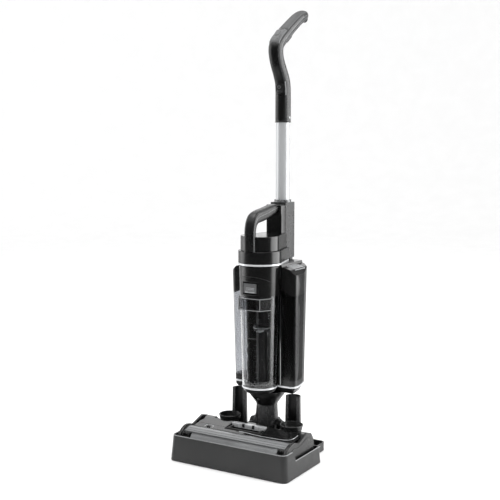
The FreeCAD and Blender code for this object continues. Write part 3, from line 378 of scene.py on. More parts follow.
class Soup:
    """Points, in millimetres, and faces of several closed parts that make one piece."""

    def __init__(self):
        self.verts = []
        self.faces = []

    def add(self, verts, faces):
        start = len(self.verts)
        self.verts += [tuple(v) for v in verts]
        self.faces += [tuple(i + start for i in face) for face in faces]

    def skin(self, rings, closed_path=False):
        """Closed rings of points, joined in order, and capped unless the path is closed."""
        size = len(rings[0])
        verts = [p for ring in rings for p in ring]
        faces = []
        spans = len(rings) if closed_path else len(rings) - 1
        for i in range(spans):
            here = i * size
            there = (i + 1) % len(rings) * size
            for j in range(size):
                k = (j + 1) % size
                faces.append((here + j, here + k, there + k, there + j))
        if not closed_path:
            faces.append(tuple(range(size))[::-1])
            faces.append(tuple((len(rings) - 1) * size + j for j in range(size)))
        self.add(verts, faces)

    def block(self, low, high, turn=None, centre=None):
        """A box between two corners, which may be turned and then moved to a centre."""
        spans = list(zip(low, high))
        corners = [Vector((x, y, z)) for x in spans[0] for y in spans[1] for z in spans[2]]
        if turn:
            corners = [turn @ c + Vector(centre) for c in corners]
        self.add(corners, [(0, 1, 3, 2), (4, 6, 7, 5), (0, 4, 5, 1), (2, 3, 7, 6), (0, 2, 6, 4),
                           (1, 5, 7, 3)])

    def disc(self, centre, axis, radius, low, high, count=24, dome=0.0):
        """A short round boss along an axis; dome rounds its far end."""
        axis = Vector(axis).normalized()
        side = axis.orthogonal().normalized()
        other = axis.cross(side)
        steps = [(radius, low), (radius, high)]
        if dome:
            steps = [(radius, low), (radius, high - dome), (radius - dome * 0.4, high - dome * 0.25),
                     (radius - dome, high)]
        self.skin([[Vector(centre) + axis * at + side * a + other * b for a, b in circle(0, 0, r, count)]
                   for r, at in steps])

    def tube(self, path, radius, count=10, closed=False):
        """A round bead along a path of points."""
        path = [Vector(p) for p in path]
        rings = []
        total = len(path)
        for i, point in enumerate(path):
            before = path[i - 1] if (i or closed) else path[0]
            after = path[(i + 1) % total] if (i < total - 1 or closed) else path[-1]
            along = (after - before).normalized()
            up = Vector((0, 0, 1)) if abs(along.z) < 0.9 else Vector((0, 1, 0))
            side = along.cross(up).normalized()
            other = side.cross(along)
            rings.append([point + side * a + other * b for a, b in circle(0, 0, radius, count)])
        self.skin(rings, closed)

    def level_ring(self, x, y, z, ring_radius, radius, steps):
        """A round bead in a level circle."""
        self.tube([(a, b, z) for a, b in circle(x, y, ring_radius, steps)], radius, closed=True)

    def plate(self, outline, low, high, axis="z"):
        """A flat outline given thickness along z or x."""
        self.skin([[(a, b, level) if axis == "z" else (level, a, b) for a, b in outline]
                   for level in (low, high)])

    def make(self, name, material, body, edge=0.0, smooth=True, segments=2):
        """The mesh piece, which moves with a body."""
        mesh = bpy.data.meshes.new(name)
        mesh.from_pydata([Vector(v) * MM for v in self.verts], [], self.faces)
        mesh.validate()
        tidy = bmesh.new()
        tidy.from_mesh(mesh)
        bmesh.ops.recalc_face_normals(tidy, faces=tidy.faces)
        tidy.to_mesh(mesh)
        tidy.free()
        obj = bpy.data.objects.new(name, mesh)
        bpy.context.scene.collection.objects.link(obj)
        mesh.materials.append(material)
        if smooth:
            finish_edges(obj, edge, segments)
        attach(obj, body)
        return obj


# ---------------------------------------------------------------- handle
# Middle line of the grip: y, z and lean of the section in degrees. A place on it is an index into
# this list, whole or fractional.
LINE = [(74, 794, 0), (74, 826, 0), (74, 859, 0), (73.4, 876, 4), (70.5, 891, 16), (64, 905, 26),
        (55.5, 919, 30), (47, 933, 27), (40.5, 948, 16), (38.2, 963, -6), (42.8, 977, -34), (55, 988, -49),
        (70, 998.5, -54), (86, 1009, -55), (102, 1019.5, -56.5), (118, 1029.5, -58), (133, 1038.5, -60),
        (148, 1046.5, -62), (161, 1052, -65), (173, 1056, -69), (183, 1058.3, -74), (187, 1059, -77)]
SIDEWAYS = Vector((1, 0, 0))
# How far a strip reaches into the handle, so that no gap shows under it.
STRIP_SINK = 0.6
POLE_Y = middle_of("pole").y
PANEL_TURN = Matrix.Rotation(math.radians(-50), 3, "X")
PANEL_PLACE = (0, 56, 988)


def section(at):
    """Middle and face direction of the grip's section at a place on LINE."""
    low = min(int(at), len(LINE) - 2)
    part = at - low
    y, z, lean = (a + (b - a) * part for a, b in zip(LINE[low], LINE[low + 1]))
    angle = math.radians(lean)
    return Vector((0, y, z)), Vector((0, -math.cos(angle), -math.sin(angle)))


def on_handle(at, angle, lift):
    """A point over the handle's skin: angle 0 is its front face, 90 its +X side."""
    middle, face = section(at)
    turn = math.radians(angle)
    direction = face * math.cos(turn) + SIDEWAYS * math.sin(turn)
    found = tree_of("handle_shell").ray_cast(middle + direction * 60, -direction, 60)[0]
    return (found if found else middle + direction * 15) + direction * lift


def handle_strip(soup, start, end, angles, lift, steps, pattern=0.0):
    """A closed skin over part of the handle, from place start to end; pattern raises every other point."""
    low, high = angles
    across = max(2, int((high - low) / 4)) if pattern else max(2, int((high - low) / 12) + 1)
    spokes = [low + (high - low) * j / across for j in range(across + 1)]
    rings = []
    for i in range(steps + 1):
        at = start + (end - start) * i / steps
        top = []
        for j, angle in enumerate(spokes):
            rise = 0.0
            if 0 < i < steps:
                rise = lift + pattern * ((i + j) % 2) if 0 < j < across else lift * 0.2
            top.append(on_handle(at, angle, rise))
        bottom = [on_handle(at, angle, -STRIP_SINK) for angle in reversed(spokes)]
        rings.append(top + bottom)
    soup.skin(rings)


def grip_pad():
    pad = Soup()
    handle_strip(pad, 12.6, 20.2, (-52, 52), 0.7, 76, pattern=0.35)
    pad.make("grip_pad", GRIP, "body")


def front_inlay():
    """The black face of the grip, open round the power button."""
    inlay = Soup()
    handle_strip(inlay, 0.12, 2.45, (-60, 42), 0.35, 16)
    for angles in ((-60, -24), (24, 42)):
        handle_strip(inlay, 2.45, 3.75, angles, 0.35, 10)
    handle_strip(inlay, 3.75, 9.6, (-60, 42), 0.35, 44)
    inlay.make("handle_front_inlay", INLAY, "body")


def panel_surround():
    surround = Soup()
    for angles in ((-50, -24), (24, 50)):
        handle_strip(surround, 9.7, 12.35, angles, 0.9, 26, pattern=0.25)
    handle_strip(surround, 9.7, 10.6, (-24, 24), 0.9, 10, pattern=0.25)
    surround.make("panel_surround", PANEL, "body")


def seam_beads():
    """The seam between the grip's face and each of its sides."""
    seams = Soup()
    for angle in (-60, 60):
        handle_strip(seams, 9.8, 20.4, (angle - 3.5, angle + 3.5), 0.4, 70)
    seams.make("handle_seam_beads", INLAY, "body")


def side_lines():
    """Two fine lines along each side of the grip."""
    lines = Soup()
    for side in (-1, 1):
        for angle, end in ((84, 20.3), (104, 20.0)):
            handle_strip(lines, 9.0, end, (side * angle - 2, side * angle + 2), 0.35, 50)
    lines.make("handle_side_lines", MARK, "body")


def status_light():
    light = Soup()
    handle_strip(light, 2.0, 4.25, (47, 55), 0.5, 16)
    light.make("handle_status_light", MARK, "body")


def rear_bump(name, stations, sink):
    """A rounded bump on the grip's rear, through stations given as place, depth and half width."""
    rings = []
    for at, depth, width in stations:
        base = on_handle(at, 180, -sink)
        out = -section(at)[1]
        rings.append([base + out * (depth + sink) * b * (1 if b > 0 else 0.2) + SIDEWAYS * width * a
                      for a, b in circle(0, 0, 1, 16)])
    bump_skin = Soup()
    bump_skin.skin(rings)
    bump_skin.make(name, SATIN, "body")


def power_button_marks():
    """A rim round the power button, and the ring and stroke on it."""
    rim = Soup()
    rim.tube([on_handle(3.13 + 0.92 * b, 29 * a, -0.1) for a, b in circle(0, 0, 1, 48)], 1.1, closed=True)
    rim.make("power_button_rim", BLACK, "body")
    z = middle_of("power_button").z
    y = box_of("power_button")[0].y - 0.1
    icon = Soup()
    icon.tube([(a, y, b) for a, b in arc(0, z, 3.6, range(125, 416, 10))], 0.35, 8)
    icon.tube([(0, y, z + 0.6), (0, y, z + 5)], 0.35, 8)
    icon.make("power_button_icon", MARK, "power_button")


def panel_marks():
    """Short raised dashes on the button panel and on its key."""
    marks = Soup()
    for x in (-6.6, 6.6):
        for z in (-3, 2, 7):
            marks.block((x - 1.0, -18.35, z - 0.5), (x + 1.0, -17.9, z + 0.5), PANEL_TURN, PANEL_PLACE)
    for i in range(5):
        x = -6 + 2.6 * i
        marks.block((x, -18.35, -11.5), (x + 1.6, -17.9, -10.3), PANEL_TURN, PANEL_PLACE)
    marks.make("panel_marks", MARK, "body")
    key = Soup()
    for z in (1, 6):
        key.block((-2.6, -19.3, z - 0.5), (2.6, -18.9, z + 0.5), PANEL_TURN, PANEL_PLACE)
    key.make("mode_button_marks", MARK, "mode_button")


def sleeve_end():
    """The lip at the lower end of the grip, and the pins that lock the pole in it."""
    sleeve = Soup()
    sleeve.level_ring(0, POLE_Y, 795.2, 18.9, 0.9, 56)
    sleeve.make("handle_sleeve_lip", SATIN, "body")
    pin = Soup()
    for side in (-1, 1):
        pin.disc((0, POLE_Y, 806), (side, 0, 0), 3.0, 17, 18.9, 20, 0.5)
    pin.make("handle_lock_pins", STEEL, "body")


grip_pad()
front_inlay()
panel_surround()
seam_beads()
side_lines()
status_light()
rear_bump("handle_hook", ((18.4, 0.2, 5), (18.8, 3.2, 6.5), (19.3, 5.8, 7.2), (19.8, 6.6, 7.2),
                          (20.3, 5.6, 6.6), (20.8, 3.0, 5)), 2.0)
rear_bump("trigger_guard", ((11.5, 0.0, 5), (11.8, 2.2, 6.2), (12.1, 3.2, 6.6), (12.3, 2.6, 6.4)), 1.5)
power_button_marks()
panel_marks()
sleeve_end()


# ---------------------------------------------------------------- carry handle and spine
ARCH_OUTER = [(0, -88, 495), (0, -88, 530), (0, -87, 551), (0, -81, 570), (0, -69, 583), (0, -48, 589.5),
              (0, -20, 593.5), (0, 5, 597.5), (0, 27.8, 600)]
ARCH_INNER = [(0, -71.5, 495), (0, -71.5, 528), (0, -70.5, 543), (0, -66, 553.5), (0, -58, 559.5),
              (0, -42, 561.5), (0, -22, 564.5), (0, 2, 571), (0, 27.8, 580)]
ARCH_STEPS = 44
ARCH_HALF = 13


def arch_ring(outer, inner, count=40):
    """A rounded section with a groove on each side where the two mouldings meet."""
    middle = (outer + inner) / 2
    reach = (outer - inner) / 2
    power = 2 / 3.6
    ring = []
    for i, (c, s) in enumerate(circle(0, 0, 1, count)):
        x = ARCH_HALF * math.copysign(abs(c) ** power, c)
        d = math.copysign(abs(s) ** power, s)
        groove = 0.9 if i in (4, count // 2 - 4) else 0.0
        ring.append(middle + reach * d + SIDEWAYS * (x - math.copysign(groove, x)))
    return ring


def carry_handle():
    sections = list(zip(curve(ARCH_OUTER, ARCH_STEPS), curve(ARCH_INNER, ARCH_STEPS)))
    arch = Soup()
    arch.skin([arch_ring(outer, inner) for outer, inner in sections])
    carry = arch.make("carry_handle_arch", SATIN, "body")
    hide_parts("carry_handle")
    seams = Soup()
    for side in (-1, 1):
        seams.tube([outer.lerp(inner, 0.42) + SIDEWAYS * side * (ARCH_HALF - 0.1)
                    for outer, inner in sections], 0.45, 8)
    seams.make("carry_handle_seams", MARK, "body")


def spine_details():
    """The seam down each side of the spine, beads round the pole's foot, and two screws behind."""
    seam = Soup()
    for side in (-1, 1):
        seam.tube([(side * 21.0, 51.8, z) for z in (468, 500, 540, 594)], 0.35, 8)
    seam.make("spine_seam_beads", BLACK, "body")
    collar = Soup()
    for z, radius in ((603.2, 20.4), (606.8, 20.2)):
        collar.level_ring(0, POLE_Y, z, radius, 0.7, 48)
    collar.make("pole_collar_beads", STEEL, "body")
    screws = Soup()
    for z in (490, 560):
        screws.disc((0, 105, z), (0, 1, 0), 3.2, 0, 1.6, 20, 0.4)
    screws.make("spine_screws", STEEL, "body")


carry_handle()
spine_details()


# ---------------------------------------------------------------- upper body
SHOULDER_LOW = 440


def exhaust_mesh():
    """Studs over each shoulder's slope, and wires across the flat below."""
    studs = Soup()
    for side in (-1, 1):
        for row in range(10):
            for column in range(6):
                x = side * (55.5 + 4.2 * column)
                y = 0.5 + 4.9 * row
                z = height_under("body_upper_shell", x, y, 500)
                if z and z > SHOULDER_LOW:
                    studs.disc((x, y, z), (0.25 * side, 0, 1), 1.45, -0.8, 0.75, 6)
    studs.make("exhaust_mesh_studs", MESH, "body")
    wires = Soup()
    for side in (-1, 1):
        low, high = sorted((side * 54.5, side * 77.5))
        for row in range(18):
            y = 1 + 2.6 * row
            wires.tube([(low, y, 445.0), (high, y, 442.0 if side > 0 else 445.0)], 0.5, 6)
    wires.make("exhaust_mesh_wires", MESH, "body")


exhaust_mesh()


# ---------------------------------------------------------------- front tank
TANK_Y = middle_of("tank_shell").y
TANK_FOOT = 170
TANK_TOP = 462
TANK_RADIUS = 42.3
TANK_FLARE = 7.2
FLOAT_Y = middle_of("tank_float").y


def on_tank(angle, z, lift):
    """A point over the front tank's skin: angle 0 is the front, 90 the +X side."""
    radius = TANK_RADIUS + TANK_FLARE * (z - TANK_FOOT) / (TANK_TOP - TANK_FOOT) + lift
    turn = math.radians(angle)
    return Vector((math.sin(turn) * radius, TANK_Y - math.cos(turn) * radius, z))


def tank_cover_lines():
    """The arched seam of the tank's cover and the rim of its latch window."""
    arcs = Soup()
    arcs.tube([on_tank(a, 437 - 15.0 * (abs(a) / 66) ** 2.2, -0.1) for a in range(-66, 67, 4)], 0.7, 8)
    arcs.make("tank_cover_arc_seam", BLACK, "dirty_tank")
    outline = [(-20.8, 394), (-20.8, 410), (-20.8, 425), (-10, 425.2), (0, 425.3), (10, 425.2), (20.8, 425),
               (20.8, 410), (20.8, 394), (10, 393.8), (0, 393.7), (-10, 393.8)]
    window = Soup()
    window.tube([(x * 0.98, TANK_Y - math.sqrt(48.4 ** 2 - x * x) - 0.1, z) for x, z in outline], 0.6, 8,
                closed=True)
    window.make("latch_window_rim", GLOSS, "dirty_tank")


def latch_button_ribs():
    ribs = Soup()
    ribs.block((-13, -82.1, 399.4), (13, -81.2, 401.4))
    for z in (404, 407, 410):
        ribs.block((-12, -81.7, z), (12, -81.2, z + 0.7))
    ribs.make("latch_button_ribs", SILVER, "latch_button", 0.25)


def spout_lips():
    """Beads along the upper and lower edge of the spout and up its two front corners."""
    lips = Soup()
    for z in (385.4, 358.0):
        lips.tube([(-42.5, -57.6, z), (-29.1, -84.6, z), (29.1, -84.6, z), (42.5, -57.6, z)], 0.8, 8)
    for x in (-29, 29):
        lips.tube([(x, -84.6, 359), (x, -84.6, 384.5)], 0.7, 8)
    lips.make("spout_lips", MARK, "dirty_tank")


def tank_lines():
    """Ribs inside the tank's front wall, and a full line and level marks on it."""
    guides = Soup()
    for angle in (-26, 24):
        guides.tube([on_tank(angle, z, -3.2) for z in (178, 230, 290, 350, 384)], 0.8, 8)
    guides.make("tank_inner_ribs", MARK, "dirty_tank")
    level = Soup()
    level.tube([on_tank(a, 290, 0.05) for a in range(-22, 23, 4)], 0.3, 6)
    for i in range(6):
        level.tube([on_tank(a, 210 + 13 * i, 0.05) for a in (14, 18, 22)], 0.22, 6)
    level.make("tank_level_marks", MARK, "dirty_tank")


def tank_insides():
    """The float's disc and tab, the bosses on the tank's floor and the folds of its filter."""
    tab = Soup()
    tab.block((6, -61.5, 303), (17, -44, 306.5))
    tab.disc((0, FLOAT_Y, 308), (0, 0, 1), 20.0, -1.0, 1.0, 40, 0.4)
    tab.make("float_tab", FLOAT, "tank_float", 0.5)
    bed = Soup()
    for x, y in circle(0, TANK_Y, 30, 8):
        bed.disc((x, y, 171.5), (0, 0, 1), 5, 0, 7, 16, 1.5)
    bed.disc((0, FLOAT_Y, 171.5), (0, 0, 1), 19, 0, 9, 36, 2.0)
    bed.make("tank_floor_bosses", BLACK, "dirty_tank")
    folds = Soup()
    ring = []
    for i, (c, s) in enumerate(circle(0, 0, 1, 120)):
        radius = 33.4 if i % 2 else 31.6
        ring.append((radius * c, TANK_Y + radius * s))
    folds.plate(ring, 394, 411)
    folds.make("filter_folds", FILTER, "dirty_tank", smooth=False)


def painted_core_edge_highlights():
    """A bead up each edge of the core, behind the front tank, in silver that paints the highlight on the
    core's edges.
    """
    beads = Soup()
    for side in (-1, 1):
        beads.tube([(side * 47.6, -18.9, z) for z in (172, 260, 350, 458)], 1.1, 8)
    # The silver of these beads is a painted highlight.
    beads.make("core_edge_painted_highlights", SILVER, "body")


tank_cover_lines()
latch_button_ribs()
spout_lips()
tank_lines()
tank_insides()
painted_core_edge_highlights()


# ---------------------------------------------------------------- neck
def neck_details():
    """The funnel's screw, the bead at the swivel, ribs on the neck's foot and the pivots' knobs."""
    screw = Soup()
    screw.disc((-2, -36.5, 134), (0, -1, 0.7), 2.8, -1.0, 1.8, 20, 0.8)
    screw.make("funnel_screw", STEEL, "body")
    bead = Soup()
    bead.level_ring(0, 0, 116.9, 25.7, 0.5, 48)
    bead.make("neck_joint_bead", BLACK, "neck")
    struts = Soup()
    for side in (-1, 1):
        for lean in (-1, 1):
            stations = ((17 + 4 * lean, 28, 70), (18 + 4 * lean, 27.6, 88), (14 + 2 * lean, 26.6, 102),
                        (13, 26, 112))
            struts.tube([(side * x, -math.sqrt(radius ** 2 - x ** 2), z) for x, radius, z in stations],
                        1.3, 8)
    struts.make("neck_side_ribs", SLEEVE, "neck")
    knobs = Soup()
    for side in (-1, 1):
        knobs.disc((side * 43, 0, 66), (side, 0, 0), 8.5, -0.2, 2.2, 28, 0.8)
        knobs.disc((side * 45, 0, 66), (side, 0, 0), 3.0, 0, 1.2, 20, 0.4)
    knobs.make("pivot_knobs", SLEEVE, "head")


neck_details()


# ---------------------------------------------------------------- floor head
LATCH = middle_of("cover_latch")
PLATE_LEVEL = 70.0


def top_bead(soup, points, radius, count=30, lift=0.0):
    """A bead that follows the head's top cover through points given as x and y."""
    path = []
    for p in curve([(x, y, 0) for x, y in points], count):
        path.append((p.x, p.y, (height_under("head_top_cover", p.x, p.y, 120) or PLATE_LEVEL) + lift))
    soup.tube(path, radius, 8)


def latch_key():
    """The heart-shaped key on the cover latch, and the line round it."""
    outline = []
    for i in range(36):
        t = 2 * math.pi * i / 36
        across = 16 * math.sin(t) ** 3
        along = 13 * math.cos(t) - 5 * math.cos(2 * t) - 2 * math.cos(3 * t) - math.cos(4 * t)
        outline.append((LATCH.x + 0.2666 * across, LATCH.y - 0.2232 * along))
    key = Soup()
    key.plate(outline, 71.4, 72.9)
    key.make("latch_heart", BLACK, "cover_latch", 0.3)
    line = Soup()
    top_bead(line, [(-107, -113.5), (-108, -106), (-103, -102.5), (-96, -102), (-89, -103), (-86, -108),
                    (-88, -113.5)], 0.5)
    line.make("latch_surround", SILVER, "head")


def plate_lines():
    """The long bright line on the head's cover, a silver bead that paints the highlight along the cover's
    edge, and the joints between its plates.
    """
    line = Soup()
    top_bead(line, [(-14, -106.4), (8, -108), (34, -110.5), (60, -111.5), (92, -110.5), (112, -108),
                    (122, -102), (126, -92), (127, -76)], 0.8, 60)
    # The silver of this line is a painted highlight.
    line.make("head_panel_painted_highlight", SILVER, "head")
    joints = Soup()
    top_bead(joints, [(-134, -97), (-90, -97.4), (-58, -97.6)], 0.4, 30, -0.15)
    top_bead(joints, [(44, -97.6), (90, -97.4), (134, -97)], 0.4, 30, -0.15)
    for side in (-1, 1):
        top_bead(joints, [(side * 38, -60), (side * 38, -48), (side * 37, -40)], 0.4, 16, -0.15)
    joints.make("head_plate_joints", BLACK, "head")


def recess_rim():
    """A bead round the lever's recess, 1 mm outside its edges."""
    left, right, front, rear = -55, 41, -105, -63
    corners = [(left, front), (right, front), (right, rear), (left, rear)]
    path = []
    for (ax, ay), (bx, by) in zip(corners, corners[1:] + corners[:1]):
        for i in range(8):
            x = ax + (bx - ax) * i / 8
            y = ay + (by - ay) * i / 8
            x += (x == right) - (x == left)
            y += (y == rear) - (y == front)
            path.append((x, y, height_under("head_top_cover", x, y, 120) or PLATE_LEVEL))
    bead = Soup()
    bead.tube(path, 0.5, 8, closed=True)
    bead.make("recess_rim", BLACK, "head")


def lever_bar():
    """The lever's two notches and its silver bar with rounded corners."""
    notches = Soup()
    for x in (-20, 7):
        notches.block((x - 3.4, -78.4, 72.0), (x + 3.4, -73.6, 80.0))
    notches.make("lever_notches", BLACK, "cover_lever", 0.5)
    outline = []
    for x, y, start in ((36.1, -67.9, 0), (-50.1, -67.9, 90), (-50.1, -75.1, 180), (36.1, -75.1, 270)):
        outline += arc(x, y, 2.7, range(start, start + 91, 15))
    bar = Soup()
    bar.plate(outline, 69.3, 79.6)
    bar.make("lever_top_bar", SILVER, "cover_lever", 0.9, segments=3)


latch_key()
plate_lines()
recess_rim()
lever_bar()


# ---------------------------------------------------------------- roller and its covers
ROLLER = middle_of("roller_core")
SHIELD_Y = -133
SHIELD_Z = 35


def roller_cover_lines():
    lines = Soup()
    for y, z in arc(ROLLER.y, ROLLER.z, 34.0, (118, 104, 84, 72)):
        lines.tube([(x, y, z) for x in (-134, -60, 0, 60, 134)], 0.35, 6)
    lines.make("roller_cover_lines", PLATE, "roller_cover")


def bearing_hoods():
    """A curved hood over each end of the roller, with three short ribs."""
    hoods = Soup()
    outline = arc(ROLLER.y, ROLLER.z, 33.4, range(128, 181, 6))
    outline += arc(ROLLER.y, ROLLER.z, 28.6, range(180, 127, -6))
    for side in (-1, 1):
        low, high = sorted((side * 121, side * 139.5))
        hoods.plate(outline, low, high, "x")
        for x in (side * 124, side * 129, side * 134):
            hoods.block((x - 0.8, -165, 58.5), (x + 0.8, -156.5, 63.6))
    hoods.make("roller_bearing_hoods", SATIN, "head", 0.6)


def shield_details():
    """Beads along the round front of each side shield, and a raised panel on its outside."""
    beads = Soup()
    for side in (-1, 1):
        for x, reach, radius in ((147.0, 40.6, 0.6), (141.2, 41.0, 0.4)):
            beads.tube([(side * x, y, z) for y, z in arc(SHIELD_Y, SHIELD_Z, reach, range(180, 80, -6))],
                       radius, 8)
    beads.make("shield_edge_beads", PLATE, "head")
    panels = Soup()
    for side in (-1, 1):
        low, high = sorted((side * 146.8, side * 147.8))
        panels.plate([(-160, 24), (-158, 44), (-148, 58), (-133, 64), (-112, 61), (-93, 65), (-70, 73),
                      (-53, 69), (-45, 58), (-42, 42), (-43, 24)], low, high, "x")
    panels.make("shield_side_panels", SATIN, "head", 0.4)


def roller_pile():
    """Short tufts all round the roller's nap, each a thin pyramid that leans a little."""
    pile = Soup()
    random.seed(7)
    rows = 96
    per_row = 150
    half = 116.2
    foot = 30.2
    for i in range(rows):
        turn = 2 * math.pi * i / rows
        for j in range(per_row):
            x = -half + 2 * half * (j + random.random()) / per_row
            t = turn + random.uniform(-0.03, 0.03)
            reach = random.uniform(30.9, 31.55)
            width = random.uniform(0.5, 0.95)
            swirl = random.uniform(-0.03, 0.03)
            corners = []
            for k in range(3):
                a = 2 * math.pi * k / 3 + turn
                around = t + width * math.sin(a) / foot
                corners.append((x + width * math.cos(a), ROLLER.y + foot * math.cos(around),
                                ROLLER.z + foot * math.sin(around)))
            tip = (x + random.uniform(-0.5, 0.5), ROLLER.y + reach * math.cos(t + swirl),
                   ROLLER.z + reach * math.sin(t + swirl))
            pile.add(corners + [tip], [(0, 1, 2), (0, 3, 1), (1, 3, 2), (2, 3, 0)])
    pile.make("roller_pile", NAP, "roller", smooth=False)


def roller_caps():
    """A circle of bosses on each end of the roller's core."""
    caps = Soup()
    for low, high in ((-134.4, -132.8), (133.8, 135.0)):
        for y, z in circle(ROLLER.y, ROLLER.z, 17, 8):
            caps.disc((0, y, z), (1, 0, 0), 2.4, low, high, 14)
    caps.make("roller_cap_bosses", BLACK, "roller")


roller_cover_lines()
bearing_hoods()
shield_details()
roller_pile()
roller_caps()


# ---------------------------------------------------------------- dock
TRAY_LOW, TRAY_HIGH = box_of("dock_tray")
TRAY_SLOPE = math.tan(math.radians(4))
SIDE_TOP = 38
CUP_X = 86
CUP_Y = -32
POST_X = 75


def dock_screws():
    screws = Soup()
    for x, y in ((-120, -150), (120, -150), (-100, -40), (100, -40)):
        screws.disc((x, y, 1.7), (0, 0, -1), 4.2, 0, 1.0, 20, 0.3)
    for x in (-60, 60):
        screws.disc((x, 45, 4.9), (0, 0, 1), 4.0, 0, 0.9, 20, 0.3)
    screws.make("dock_screws", STEEL, "dock")


def rear_tray_ribs():
    ribs = Soup()
    for x in range(-100, 101, 20):
        if abs(x) > 30:
            ribs.block((x - 1, 30, 4.8), (x + 1, 62, 6.2))
    ribs.make("rear_tray_ribs", DOCK, "dock", 0.4)


def contact_tips():
    contacts = Soup()
    for x in (-9, 9):
        contacts.disc((x, -23.2, 28), (0, -1, 0), 2.4, 0, 0.6, 20, 0.3)
    contacts.make("charge_contact_tips", CHROME, "dock")


def tray_wall(z, inset):
    """Half width and front of the tray's outer wall at a height, moved in by inset."""
    draft = (z - TRAY_LOW.z) * TRAY_SLOPE
    return TRAY_HIGH.x - draft - inset, TRAY_LOW.y + draft + inset


def tray_rim():
    """A rounded rail along the tray's high front, down its steps and along its sides, in a light grey that
    paints the highlight along the rim.
    """
    rail = Soup()
    high = TRAY_HIGH.z + 0.2
    low = SIDE_TOP + 0.2
    half, front = tray_wall(TRAY_HIGH.z, 1.4)
    corner = 12.6
    left = [(-half, -150.6), (-half, -165)]
    left += arc(corner - half, front + corner, corner, range(180, 271, 10))
    middle = [(x, front) for x in (-100, -50, 0, 50, 100)]
    right = [(-x, y) for x, y in reversed(left)]
    rail.tube([(x, y, high) for x, y in left + middle + right], 1.5, 10)
    low_half = tray_wall(SIDE_TOP, 1.4)[0]
    for side in (-1, 1):
        rail.tube([(side * low_half, y, low) for y in (-138.5, -80, -18)], 1.4, 10)
        rail.tube([(side * half, -150.4, high), (side * low_half, -139.0, low + 0.2)], 1.4, 10)
    rail.make("tray_rim_highlight_rail", RIM_PAINTED_HIGHLIGHT, "dock")


def socket_rim():
    rim = Soup()
    rim.tube([(x, 24.0, z) for x, z in circle(0, 28, 4.4, 32)], 0.7, closed=True)
    rim.make("supply_socket_rim", BLACK, "dock")


def cup_rims():
    rims = Soup()
    for side in (-1, 1):
        rims.level_ring(side * CUP_X, CUP_Y, 84.0, 26.2, 1.0, 56)
    rims.make("cup_rims", SLEEVE, "dock")


def post_flanges():
    """A flange up both edges of each half-pipe post, wider at its foot, in a lighter grey that is partly
    its own grey and partly painted light on the post's lit edges.
    """
    flanges = Soup()
    for side in (-1, 1):
        for lean in (-1, 1):
            rings = []
            for z, grow in ((9, 2.2), (60, 1.2), (146, 0)):
                outer = side * POST_X + lean * (18.0 + grow)
                inner = side * POST_X + lean * (10.6 + grow)
                rings.append([(inner, -9.6, z), (outer, -9.6, z), (outer, -6.4, z), (inner, -6.4, z)])
            flanges.skin(rings)
    # The flanges' lighter grey is partly own colour and partly painted light.
    flanges.make("post_flanges", SLEEVE, "dock", 0.5)


def cup_floor_beads():
    beads = Soup()
    for side in (-1, 1):
        beads.level_ring(side * CUP_X, CUP_Y, 63.9, 10.5, 0.6, 32)
    beads.make("cup_floor_beads", DOCK, "dock")


dock_screws()
rear_tray_ribs()
contact_tips()
tray_rim()
socket_rim()
cup_rims()
post_flanges()
cup_floor_beads()


# ---------------------------------------------------------------- floor, lights and camera
scene = bpy.context.scene
FLOOR = surface("studio_floor", 0.96, 0.7, grain=60, relief=0.0, spread=0.01, warm=0.0, ior=1.0)
FLOOR_REACH = 4.6
COVE = 1.8
VIEW = math.radians(31.17)
AWAY = Vector((-math.sin(VIEW), math.cos(VIEW), 0))
RIGHT = Vector((math.cos(VIEW), math.sin(VIEW), 0))
AIM = Vector((0, 0, 0.45))
# Bearing in degrees and level of the grey ring's shades.
SHADES = ((-180, 0.9), (-166, 0.85), (-150, 0.6), (-128, 0.5), (-100, 0.5), (-80, 0.2), (-64, 0.03),
          (40, 0.02), (60, 0.06), (72, 0.9), (112, 0.9), (122, 0.14), (145, 0.15), (165, 0.8), (180, 0.9))


def stage_rings(name, profile, count, material, capped=False):
    """A round stage mesh from a profile of radius and height in metres; capped closes its middle."""
    verts = [(x, y, z) for radius, z in profile for x, y in circle(0, 0, radius, count)]
    faces = [tuple(range(count))] if capped else []
    for ring in range(len(profile) - 1):
        here = ring * count
        there = here + count
        for i in range(count):
            k = (i + 1) % count
            face = (here + i, there + i, there + k, here + k)
            faces.append(face if capped else face[::-1])
    mesh = bpy.data.meshes.new(name)
    mesh.from_pydata(verts, [], faces)
    obj = bpy.data.objects.new(name, mesh)
    scene.collection.objects.link(obj)
    mesh.materials.append(material)
    return obj


def studio_floor():
    """A round white floor that curves up into a wall all round."""
    profile = [(0.6, 0.0), (2.0, 0.0), (FLOOR_REACH, 0.0)]
    profile += arc(FLOOR_REACH, COVE, COVE, range(-80, 1, 10))
    profile.append((FLOOR_REACH + COVE, 2 * COVE))
    obj = stage_rings("studio_floor", profile, 96, FLOOR, capped=True)
    for polygon in obj.data.polygons:
        polygon.use_smooth = True


def white_world():
    world = bpy.data.worlds.new("studio")
    scene.world = world
    world.use_nodes = True
    background = next(n for n in world.node_tree.nodes if n.type == "BACKGROUND")
    background.inputs["Color"].default_value = (1.0, 1.0, 1.0, 1)
    background.inputs["Strength"].default_value = 1.0


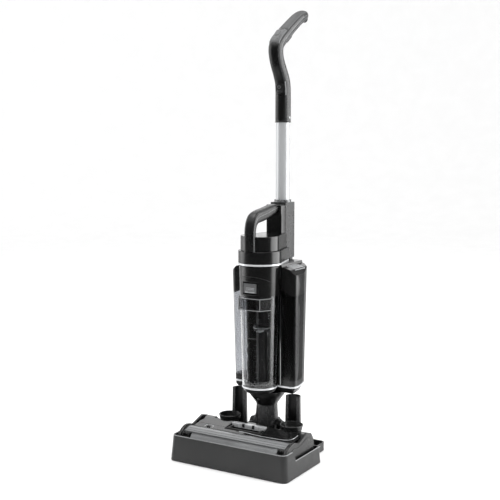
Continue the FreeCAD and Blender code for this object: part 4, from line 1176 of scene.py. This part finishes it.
def softbox(name, bearing, distance, height, width, tall, power):
    """An area light at a bearing in degrees from the camera's side, positive to the right."""
    data = bpy.data.lights.new(name, "AREA")
    data.shape = "RECTANGLE"
    data.size = width
    data.size_y = tall
    data.energy = power
    obj = bpy.data.objects.new(name, data)
    scene.collection.objects.link(obj)
    turn = math.radians(bearing)
    obj.location = (RIGHT * math.sin(turn) - AWAY * math.cos(turn)) * distance + Vector((0, 0, height))
    obj.rotation_euler = (AIM - obj.location).to_track_quat("-Z", "Y").to_euler()


def grey_ring():
    """A ring round the object that only reflections and clear parts see, with a shade per bearing."""
    mat, tree, shader = new_material("grey_ring")
    shader.inputs["Roughness"].default_value = 1.0
    sweep = tree.nodes.new("ShaderNodeTexGradient")
    sweep.gradient_type = "RADIAL"
    place = tree.nodes.new("ShaderNodeTexCoord")
    shades = tree.nodes.new("ShaderNodeValToRGB")
    tree.links.new(place.outputs["Object"], sweep.inputs["Vector"])
    tree.links.new(sweep.outputs["Fac"], shades.inputs["Fac"])
    tree.links.new(shades.outputs["Color"], shader.inputs["Base Color"])
    while len(shades.color_ramp.elements) < len(SHADES):
        shades.color_ramp.elements.new(0.5)
    for element, (bearing, level) in zip(shades.color_ramp.elements, SHADES):
        element.position = (bearing + 180) / 360
        element.color = (level, level, level, 1)
    ring = stage_rings("grey_ring", ((0.62, 0.003), (3.0, 0.003), (3.0, 2.6)), 72, mat)
    ring.rotation_euler = (0, 0, VIEW - math.pi / 2)
    ring.visible_camera = False
    ring.visible_diffuse = False
    ring.visible_shadow = False


def add_camera():
    data = bpy.data.cameras.new("camera")
    data.lens = 69.4
    data.sensor_width = 36
    data.clip_end = 50
    camera = bpy.data.objects.new("camera", data)
    camera.location = (1.148, -1.978, 0.768)
    camera.rotation_euler = (math.radians(83.10), 0, VIEW)
    scene.collection.objects.link(camera)
    scene.camera = camera
    scene.view_settings.view_transform = "Standard"
    scene.view_settings.look = "None"


studio_floor()
white_world()
softbox("right_softbox", 92, 1.9, 0.85, 2.1, 2.4, 46)
softbox("left_softbox", -106, 2.2, 0.85, 1.5, 2.4, 17)
softbox("top_softbox", -90, 0.4, 2.9, 1.6, 1.6, 26)
grey_ring()
add_camera()
